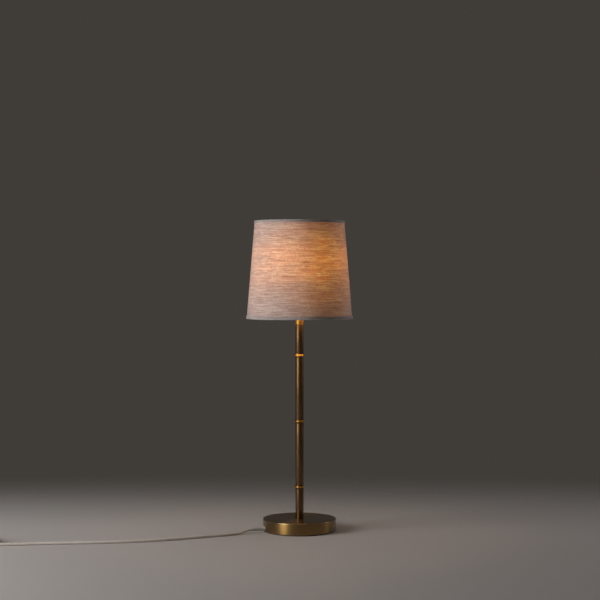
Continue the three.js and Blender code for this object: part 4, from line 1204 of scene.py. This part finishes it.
    def plug(self, place: Vector) -> list[Piece]:
        """Makes the two-pin plug, with its ribbed neck towards the lead.

        Args:
            place: The end of its neck.

        Returns:
            The plug's body and its two pins.
        """
        neck, grip = self.plug_neck, self.plug_grip
        sections: list[tuple[float, float, float, float]] = []
        for share in (step / 14 for step in range(15)):
            size = 3.5 + 2.2 * share + 0.35 * math.cos(TURN * 3.5 * share)
            sections.append((neck * share, size, size, 2.0))
        for share in (0.08, 0.2, 0.4, 0.6, 0.8, 0.92, 1.0):
            wide, deep = 6.2 + 10.6 * ease(share), 5.6 + 1.25 * min(1.0, 2 * ease(share))
            sections.append((neck + 16.2 * share, wide, deep, 2.0 + 1.6 * share))
        for step in range(1, 12):
            groove = -0.45 if step % 2 and step < 9 else 0.0
            sections.append((grip + 1.5 * step, 16.8 + groove, 6.85, 3.8))
        sections += [(48.6, 16.7, 6.8, 3.8), (49.5, 16.2, 6.3, 3.8), (50.0, 15.2, 5.3, 3.8)]
        rows = []
        for along, wide, deep, power in sections:
            row = []
            for angle in turns(64):
                parts = (math.cos(angle), math.sin(angle))
                across, up = (math.copysign(abs(part) ** (2 / power), part) for part in parts)
                row.append(Vector((wide * across, along, deep * up)))
            rows.append(row)
        body = Shell().rows(rows, around=True, ends=True).moved(pose(place)).piece("mains_plug")
        made = [self.palette.dress(body, Slot.LEAD_SHEATH, Body.BASE, "plug_body")]
        pin = rounded([(0, 44, 0), (2, 44, 0), (2, 69, 1.4), (0, 69, 0)], steps=6)
        for index, side in enumerate((-1, 1), start=1):
            spot = pose(place + Vector((side * self.pin_spread, 0.0, 0.0)), (-90.0, "X"))
            piece = Shell().turned(pin, 32).moved(spot).piece(f"plug_prong_{index}")
            made.append(self.palette.dress(piece, Slot.NICKEL, Body.BASE, f"plug_pin_{index}"))
        return made

    def relief(self) -> Piece:
        """Makes the tapered, grooved strain relief in the foot's wall.

        Returns:
            The strain relief.
        """
        flange = [(3.5, 70.3, 0), (4.4, 70.3, 0.3), (4.4, 72.0, 0.5), (3.7, 72.0, 0)]
        profile = [(2.9, 67.0), (3.5, 67.0), (3.5, 70.1), *rounded(flange)]
        for groove in range(5):
            start = 73.2 + groove * 4.0
            size = 3.65 - 0.022 * (start - 72.0)
            corners = [
                (size, start, 0),
                (size, start + 2.5, 0.5),
                (size - 0.5, start + 2.8, 0.3),
                (size - 0.5, start + 3.7, 0.3),
                (size - 0.09, start + 4.0, 0.3),
            ]
            profile += rounded(corners)
        profile += [(3.1, 94.0), (2.75, 94.0)]
        return Shell().turned(profile, 48).moved(self.exit_pose()).piece("strain_relief_boot", 50.0)


# The metal


@dataclass
class Foot(Assembly):
    """The spun brass cup and the felt under it."""

    lead: MainsLead
    diameter: float = 140.0
    low: float = 2.0
    top: float = 23.5
    wall: float = 1.2
    bore: float = 10.6
    edge: float = 1.5
    lead_hole: float = 3.8
    felt_radius: float = 68.8
    felt_top: float = 1.7
    sides: int = 192

    def build(self) -> None:
        """Makes the cup, with the lead's hole, and the felt."""
        outer, inner = self.diameter / 2, self.diameter / 2 - self.wall
        ceiling, bore = self.top - self.wall, self.bore / 2
        corners = [
            (inner, self.low, 0.3),
            (outer, self.low, 0.5),
            (outer, self.top, self.edge),
            (bore, self.top, 0.2),
            (bore, ceiling, 0),
            (inner, ceiling, 0.6),
        ]
        cup = Shell().turned(rounded(corners, True, 6), self.sides).piece("foot_cup", 30.0)
        hole = Shell().turned(rod(self.lead_hole, 60, 76), 48).moved(self.lead.exit_pose())
        cup = bored(cup, hole.piece("lead_hole"))
        self.palette.dress(cup, Slot.AGED_BRASS, Body.BASE, "base_shell")
        wide, high, soft = self.felt_radius, self.felt_top, 0.25
        felt = rounded([(0, 0, 0), (wide, 0, soft), (wide, high, soft), (0, high, 0)])
        piece = Shell().turned(felt, self.sides).piece("foot_felt")
        self.palette.dress(piece, Slot.DARK_FELT, Body.BASE, "base_felt")


@dataclass
class Stem(Assembly):
    """The four tubes and the three turned rings between them."""

    radius: float = TUBE_RADIUS
    bore: float = 6.9
    start: float = 23.8
    end: float = 395.4
    edge: float = 0.2
    rings: tuple[float, ...] = (83.7, 209.7, 335.7)
    bead: float = 2.2
    flare: float = 2.2
    proud: float = 1.45
    gap: float = 0.3
    sides: int = 96

    def build(self) -> None:
        """Makes the tubes and the rings."""
        reach = self.bead + self.flare + self.gap
        starts = [self.start, *(ring + reach for ring in self.rings)]
        ends = [*(ring - reach for ring in self.rings), self.end]
        out, bore, edge = self.radius, self.bore, self.edge
        for index, (low, high) in enumerate(zip(starts, ends), start=1):
            corners = [(bore, low, 0), (out, low, edge), (out, high, edge), (bore, high, 0)]
            profile = rounded(corners, closed=True, steps=3)
            piece = Shell().turned(profile, self.sides).piece(f"stem_length_{index}")
            self.palette.dress(piece, Slot.AGED_BRASS, Body.BASE, f"stem_tube_{index}")
        for index, height in enumerate(self.rings, start=1):
            piece = Shell().turned(self.ring(height), self.sides).piece(f"stem_ring_{index}", 50.0)
            self.palette.dress(piece, Slot.BRIGHT_BRASS, Body.BASE, f"node_ring_{index}")

    def ring(self, height: float) -> list[Flat]:
        """Gives a ring's profile.

        Args:
            height: Its middle.

        Returns:
            The profile, closed.
        """
        foot, crest = self.radius + 0.35, self.radius + self.proud
        shoulder = self.bead + self.flare
        spigot = shoulder + 5.0
        low = arc_between((self.radius, -shoulder), (self.radius, -self.bead), (foot, -self.bead), 6)
        middle = arc_between((foot, -self.bead), (2 * crest - foot, 0.0), (foot, self.bead), 14)
        high = arc_between((foot, self.bead), (self.radius, self.bead), (self.radius, shoulder), 6)
        profile = [
            (SPIGOT_INNER, -spigot), (SPIGOT_OUTER, -spigot), (SPIGOT_OUTER, -shoulder),
            *low, *middle[1:], *high[1:],
            (SPIGOT_OUTER, shoulder), (SPIGOT_OUTER, spigot), (SPIGOT_INNER, spigot),
        ]
        return [(radius, height + rise) for radius, rise in profile]


@dataclass
class Lampholder(Assembly):
    """What shows of the lampholder: cap, threaded skirt, clamping ring and switch bar."""

    stem_top: float = 395.7
    bar_height: float = 415.45
    grub_height: float = 400.2
    skirt_top: float = 457.42
    flange_top: float = 442.2
    inner: float = 17.6
    outer: float = 19.5
    dome_inner: float = 16.2
    rod_hole: float = 4.2
    brim: float = 23.5
    brim_thick: float = 2.5
    thread_pitch: float = 2.5
    thread_depth: float = 0.5
    thread_rows: int = 72
    notches: int = 12
    sides: int = 128

    def build(self) -> None:
        """Makes the four pieces."""
        dress = self.palette.dress
        dress(self.cap(), Slot.BRIGHT_BRASS, Body.BASE, "holder_cap")
        dress(self.skirt(), Slot.BLACK_PHENOLIC, Body.BASE, "holder_skirt")
        dress(self.clamp(), Slot.BLACK_PHENOLIC, Body.RING, "shade_ring")
        dress(self.bar(), Slot.BRIGHT_BRASS, Body.SWITCH, "switch_bar")

    def bar_pose(self) -> Matrix:
        """Gives the move that lays a shape on the switch bar's axis."""
        return pose((0.0, 0.0, self.bar_height), (90.0, "Y"))

    def cap(self) -> Piece:
        """Makes the domed cap with the holes for its grub screw and the switch bar.

        Returns:
            The cap.
        """
        top, neck, end = self.stem_top, self.stem_top + 9.0, self.stem_top + 27.0
        outer, inner, narrow, hole = self.outer, self.inner, self.dome_inner, self.rod_hole
        root = [(SPIGOT_OUTER, top, 0), (TUBE_RADIUS, top, 0.3), (TUBE_RADIUS, neck, 0.3)]
        rim = [(outer, top + 18.0, 0), (outer, end, 0.4), (inner, end, 0.3)]
        profile = [
            (SPIGOT_INNER, top - 5.0),
            (SPIGOT_OUTER, top - 5.0),
            (SPIGOT_OUTER, top),
            *rounded(root, steps=3)[1:-1],
            *arc_between((TUBE_RADIUS, neck), (outer, top + 9.8), (outer, top + 18.0), 14),
            *rounded(rim)[1:],
            (inner, top + 23.7),
            (narrow, top + 23.7),
            *arc_between((narrow, top + 19.0), (narrow, top + 11.8), (hole, top + 11.2), 10),
            (hole, top + 7.3),
            (SPIGOT_INNER, top + 7.3),
        ]
        piece = Shell().turned(profile, self.sides).piece("holder_dome", 35.0)
        cut = Shell().turned(rod(2.4, -24, 24), 32).moved(self.bar_pose())
        piece = bored(piece, cut.piece("bar_hole"))
        behind = pose((0.0, 0.0, self.grub_height), (-90.0, "X"))
        cut = Shell().turned(rod(1.6, 4.5, 9), 24).moved(behind)
        return bored(piece, cut.piece("grub_hole"))

    def skirt(self) -> Piece:
        """Makes the skirt, threaded above its flange.

        Returns:
            The skirt.
        """
        top, flange, low = self.skirt_top, self.flange_top, self.stem_top + 27.3
        under, inner, outer, brim = flange - self.brim_thick, self.inner, self.outer, self.brim
        start, end = flange + 0.9, top - 0.9
        foot = [
            (inner, low, 0.2), (outer, low, 0.3), (outer, under, 0.4),
            (brim, under, 0.5), (brim, flange, 0.5), (outer, flange, 0.3),
        ]
        head = [(outer, end, 0), (18.9, top, 0.3), (inner, top, 0.2), (inner, low, 0)]
        wall = [(outer, height) for height in stages(start, end, self.thread_rows)]
        profile = [*rounded(foot, steps=3), *wall, *rounded(head, steps=3)[1:-1]]
        thread = Thread(outer, start, end, self.thread_pitch, -self.thread_depth, 0.8, power=1.5)
        return Shell().turned(profile, self.sides, thread.swell).piece("holder_skirt_threaded", 50.0)

    def clamp(self) -> Piece:
        """Makes the ring that holds the shade down, with its finger notches.

        Returns:
            The ring.
        """
        low = self.flange_top + 2.1
        step, top = low + 2.0, low + 6.0
        corners = [
            (19.9, low, 0.3), (27.0, low, 0.4), (27.0, step, 0.6),
            (23.0, step, 0.5), (23.0, top, 0.7), (19.9, top, 0.4),
        ]

        def notch(angle: float, radius: float, height: float) -> float:
            """Sinks the finger notches into the grip."""
            away = ((angle * self.notches / TURN) % 1.0 - 0.5) / 0.19
            return -1.2 * max(0.0, 1.0 - away**4) if 21.5 <= radius <= 24.0 and height >= low + 2.3 else 0.0

        return Shell().turned(rounded(corners, closed=True), 288, notch).piece("clamp_ring", 35.0)

    def bar(self) -> Piece:
        """Makes the switch bar with a button at each end.

        Returns:
            The bar.
        """
        knob, thin = 3.2, 2.0
        corners = [
            (0, -30.0, 0), (knob, -30.0, 1.2), (knob, -26.0, 0.3), (thin, -26.0, 0.2),
            (thin, 20.0, 0.2), (knob, 20.0, 0.3), (knob, 24.0, 1.2), (0, 24.0, 0),
        ]
        shell = Shell().turned(rounded(corners, steps=6), 40)
        return shell.moved(self.bar_pose()).piece("push_bar", 35.0)


# The bulb and the shade


@dataclass
class Bulb(Assembly):
    """The opal globe and its threaded cap, in heights above the bulb's tip."""

    tip: float = 432.4
    radius: float = 30.0
    length: float = 107.0
    neck: float = 13.0
    neck_start: float = 24.42
    collar_start: float = 23.52
    collar_end: float = 27.02
    collar_outer: float = 13.9
    collar_inner: float = 13.3
    cap_start: float = 6.5
    cap_outer: float = 12.3
    cap_inner: float = 11.7
    cap_rows: int = 96
    pitch: float = 3.63
    thread_height: float = 0.8
    sides: int = 96

    def build(self) -> None:
        """Makes the globe and the cap."""
        wall = self.lifted([*reversed(self.outline(1.0)), *self.outline(0.0)])
        globe = Shell().turned(wall, self.sides).piece("bulb_globe", 60.0)
        self.palette.dress(globe, Slot.OPAL_GLASS, Body.BULB, "bulb_glass")
        self.palette.dress(self.cap(), Slot.NICKEL, Body.BULB, "bulb_cap")

    def lifted(self, profile: Sequence[Flat]) -> list[Flat]:
        """Lifts a profile from the bulb's tip to its height in the lamp."""
        return [(radius, height + self.tip) for radius, height in profile]

    def outline(self, inset: float) -> list[Flat]:
        """Gives one face of the glass, from the neck's edge to the top.

        Args:
            inset: How far it lies inside the outer face.

        Returns:
            Its points.
        """
        radius, centre = self.radius - inset, self.length - self.radius
        shoulder = math.pi / 5
        tangent = (radius * math.cos(shoulder), centre - radius * math.sin(shoulder))
        throat = (self.collar_outer - inset, self.collar_end + 3.0)
        points = [(self.neck - inset, self.neck_start), (self.neck - inset, self.collar_end + 0.3)]
        points += arc_between(throat, (throat[0] + 1.0, tangent[1] - 12.0), tangent, 14)
        for step in range(1, 28):
            angle = -shoulder + (math.pi / 2 + shoulder) * step / 28
            points.append((radius * math.cos(angle), centre + radius * math.sin(angle)))
        points.append((0.0, centre + radius))
        return points

    def cap(self) -> Piece:
        """Makes the sheet cap with its rolled thread.

        Returns:
            The cap.
        """
        start, end = self.cap_start, self.cap_start + 4 * self.pitch
        wall, wide, narrow = self.cap_outer, self.collar_outer, self.collar_inner
        low, high = self.collar_start, self.collar_end
        collar = [(wall, end, 0), (wide, low, 0.6), (wide, high, 0.3), (narrow, high, 0)]
        profile = [
            (self.cap_inner, start),
            *((wall, height) for height in stages(start, end, self.cap_rows)),
            *rounded(collar)[1:],
            (narrow, low + 0.6),
            (self.cap_inner, end + 0.6),
        ]
        begin, stop = start + self.tip, end + self.tip
        thread = Thread(wall, begin, stop, self.pitch, self.thread_height, 1.2, origin=begin)
        shell = Shell().turned(self.lifted(profile), self.sides, thread.swell)
        return shell.piece("bulb_screw_cap", 45.0)


@dataclass
class Shade(Assembly):
    """The tapered drum: cloth, lining, folded edges and wire frame."""

    base: float = 405.7
    height: float = 187.0
    bottom: float = 102.0
    top: float = 86.75
    seam_half: float = 4.5
    seam_step: float = 0.5
    cloth_rows: int = 40
    cloth_wave: float = 0.18
    edge_wave: float = 0.12
    edge_thick: float = 0.7
    edge_depth: float = 6.3
    wire: float = 1.5
    wire_inset: float = 4.5
    wire_rise: float = 2.5
    wire_sides: int = 16
    fitter_low: float = 442.5
    sides: int = 360
    inner_sides: int = 192

    def radius(self, height: float) -> float:
        """Gives the radius over the folded edges at a height above the shade's base."""
        return self.bottom + (self.top - self.bottom) * height / self.height

    def build(self) -> None:
        """Makes the shade's pieces."""
        dress = self.palette.dress
        cloth = dress(self.cloth(), Slot.LINEN, Body.SHADE, "shade_fabric")
        dress(self.lining(), Slot.SHADE_LINER, Body.SHADE, "shade_liner")
        lower = self.edge("shade_edge_lower", 0.0, 6.0)
        upper = self.edge("shade_edge_upper", self.height, -5.0)
        edges = [
            dress(lower, Slot.LINEN_TRIM, Body.SHADE, "shade_trim_bottom"),
            dress(upper, Slot.LINEN_TRIM, Body.SHADE, "shade_trim_top"),
        ]
        dress(self.carrier(), Slot.WHITE_ENAMEL, Body.SHADE, "shade_bottom_frame")
        dress(self.fitter(), Slot.WHITE_ENAMEL, Body.SHADE, "shade_fitter")
        dress(self.top_wire(), Slot.WHITE_ENAMEL, Body.SHADE, "shade_top_ring")

    def waves(self, amount: float, seam: float, angle: float, radius: float, height: float) -> float:
        """Gives the small unevenness of a sheet and its seam at the back.

        Args:
            amount: How far it strays.
            seam: How far the seam stands out.
            angle: The angle round the axis.
            radius: The radius.
            height: The height.

        Returns:
            What is added to the radius.
        """
        place = Vector((math.cos(angle) * 3, math.sin(angle) * 3, height / 45))
        away = abs((angle - math.pi / 2) * radius)
        step = seam * min(1.0, max(0.0, (self.seam_half + 0.6 - away) / 1.2))
        return amount * noise.noise(place) + step

    def sheet(self, inset: float, thickness: float, rows: int) -> list[Flat]:
        """Gives the profile of a sheet of the shade.

        Args:
            inset: How far it lies inside the folded edges' face.
            thickness: How thick it is.
            rows: How many rows it has.

        Returns:
            The closed profile.
        """
        heights = stages(1.0, self.height - 1.0, rows)
        outside = [(self.radius(height) - inset, self.base + height) for height in heights]
        return [*outside, *((radius - thickness, height) for radius, height in reversed(outside))]

    def cloth(self) -> Piece:
        """Makes the cloth, lapped at the back.

        Returns:
            The cloth.
        """
        profile = self.sheet(1.0, 0.8, self.cloth_rows)
        outer = set(profile[: self.cloth_rows + 1])
        lapped, plain = (partial(self.waves, self.cloth_wave, seam) for seam in (self.seam_step, 0.0))
        end = self.base + self.height

        def shape(angle: float, radius: float, height: float) -> float:
            """Uses the seam on the outer face alone, and keeps the ends under the edges."""
            swell = lapped if (radius, height) in outer else plain
            return swell(angle, radius, height) * max(0.0, faded(height, self.base, end, 8.0))

        return Shell().turned(profile, self.sides, shape).piece("shade_cloth", 60.0)

    def lining(self) -> Piece:
        """Makes the plastic sheet inside the cloth."""
        return Shell().turned(self.sheet(2.1, 0.6, 4), self.inner_sides).piece("shade_lining", 60.0)

    def edge(self, name: str, height: float, leg: float) -> Piece:
        """Makes a folded strip of cloth over an edge.

        Args:
            name: The strip's name.
            height: The edge's height above the shade's base.
            leg: How far its legs reach from the edge, downwards if negative.

        Returns:
            The strip.
        """
        thick, inner, reach = self.edge_thick, self.edge_depth, abs(leg)
        corners = []
        for inset, rise, fillet in (
            (inner + thick, 0, 0.6), (0, 0, 0.6), (0, reach, 0.25), (thick, reach, 0.25),
            (thick, thick, 0.2), (inner, thick, 0.2), (inner, reach, 0.25), (inner + thick, reach, 0.25),
        ):
            up = math.copysign(1.0, leg) * rise
            corners.append((self.radius(height + up) - inset, self.base + height + up, fillet))
        swell = partial(self.waves, self.edge_wave, 0.0)
        return Shell().turned(rounded(corners, closed=True), self.sides, swell).piece(name, 50.0)

    def wired(self, height: float) -> Shell:
        """Starts a shell with a wire ring.

        Args:
            height: The ring's height above the shade's base.

        Returns:
            The shell.
        """
        radius, level = self.radius(height) - self.wire_inset, self.base + height
        circle = [polar(angle, radius, level) for angle in turns(self.inner_sides)]
        return Shell().swept(circle, self.wire, self.wire_sides, loop=True)

    def top_wire(self) -> Piece:
        """Makes the upper wire ring."""
        return self.wired(self.height - self.wire_rise).piece("shade_upper_wire")

    def carrier(self) -> Piece:
        """Makes the lower wire ring with its three arms and their welds.

        Returns:
            The frame.
        """
        shell = self.wired(self.wire_rise)
        inset, rise = self.wire_inset, self.fitter_low - self.base - 1.8
        shoulder, knee = self.radius(10.0) - inset, self.radius(10.0) - 22.5
        bend = arc_between((shoulder, 10.0), (self.radius(24.0) - inset, 19.0), (knee, 24.0), 10)
        line = [
            (self.radius(self.wire_rise) - inset, self.wire_rise, 0.0),
            *((*point, 0.0) for point in bend),
            (36.0, rise, 6.0),
            (24.3, rise, 0.0),
        ]
        smooth = rounded(line, steps=6)
        for arm in range(3):
            turn = Matrix.Rotation(math.pi / 2 + TURN * arm / 3, 3, "Z")
            path = [turn @ Vector((reach, 0.0, self.base + height)) for reach, height in smooth]
            shell.swept(path, self.wire, self.wire_sides)
            shell.bead(path[0], (2.0, 2.0, 1.7))
            for reach in (29.5, 26.5):
                shell.bead(turn @ Vector((reach, 0.0, self.base + rise + 1.1)), (1.5, 1.5, 0.8))
        return shell.piece("shade_carrier", 60.0)

    def fitter(self) -> Piece:
        """Makes the pressed plate that the ring clamps.

        Returns:
            The plate.
        """
        low, high, bore, rim = self.fitter_low, self.fitter_low + 1.5, 20.3, 31.0
        corners = [(bore, low, 0.3), (rim, low, 0.4), (rim, high, 0.4), (bore, high, 0.3)]
        return Shell().turned(rounded(corners, closed=True), 128).piece("shade_fitter_plate")


def main() -> None:
    """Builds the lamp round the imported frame, piece by piece."""
    logging.basicConfig(level=logging.INFO, format="%(message)s")
    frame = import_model()
    studio, palette = Studio(), Palette()
    studio.set_camera()
    lead = MainsLead(palette)
    lead.build()
    Foot(palette, lead).build()
    for assembly in (Stem, Lampholder, Bulb, Shade):
        assembly(palette).build()
    palette.dress_packed(frame)
    studio.set_lamps()
    studio.set_world()
    studio.set_floor()


if __name__ == "__main__":
    main()
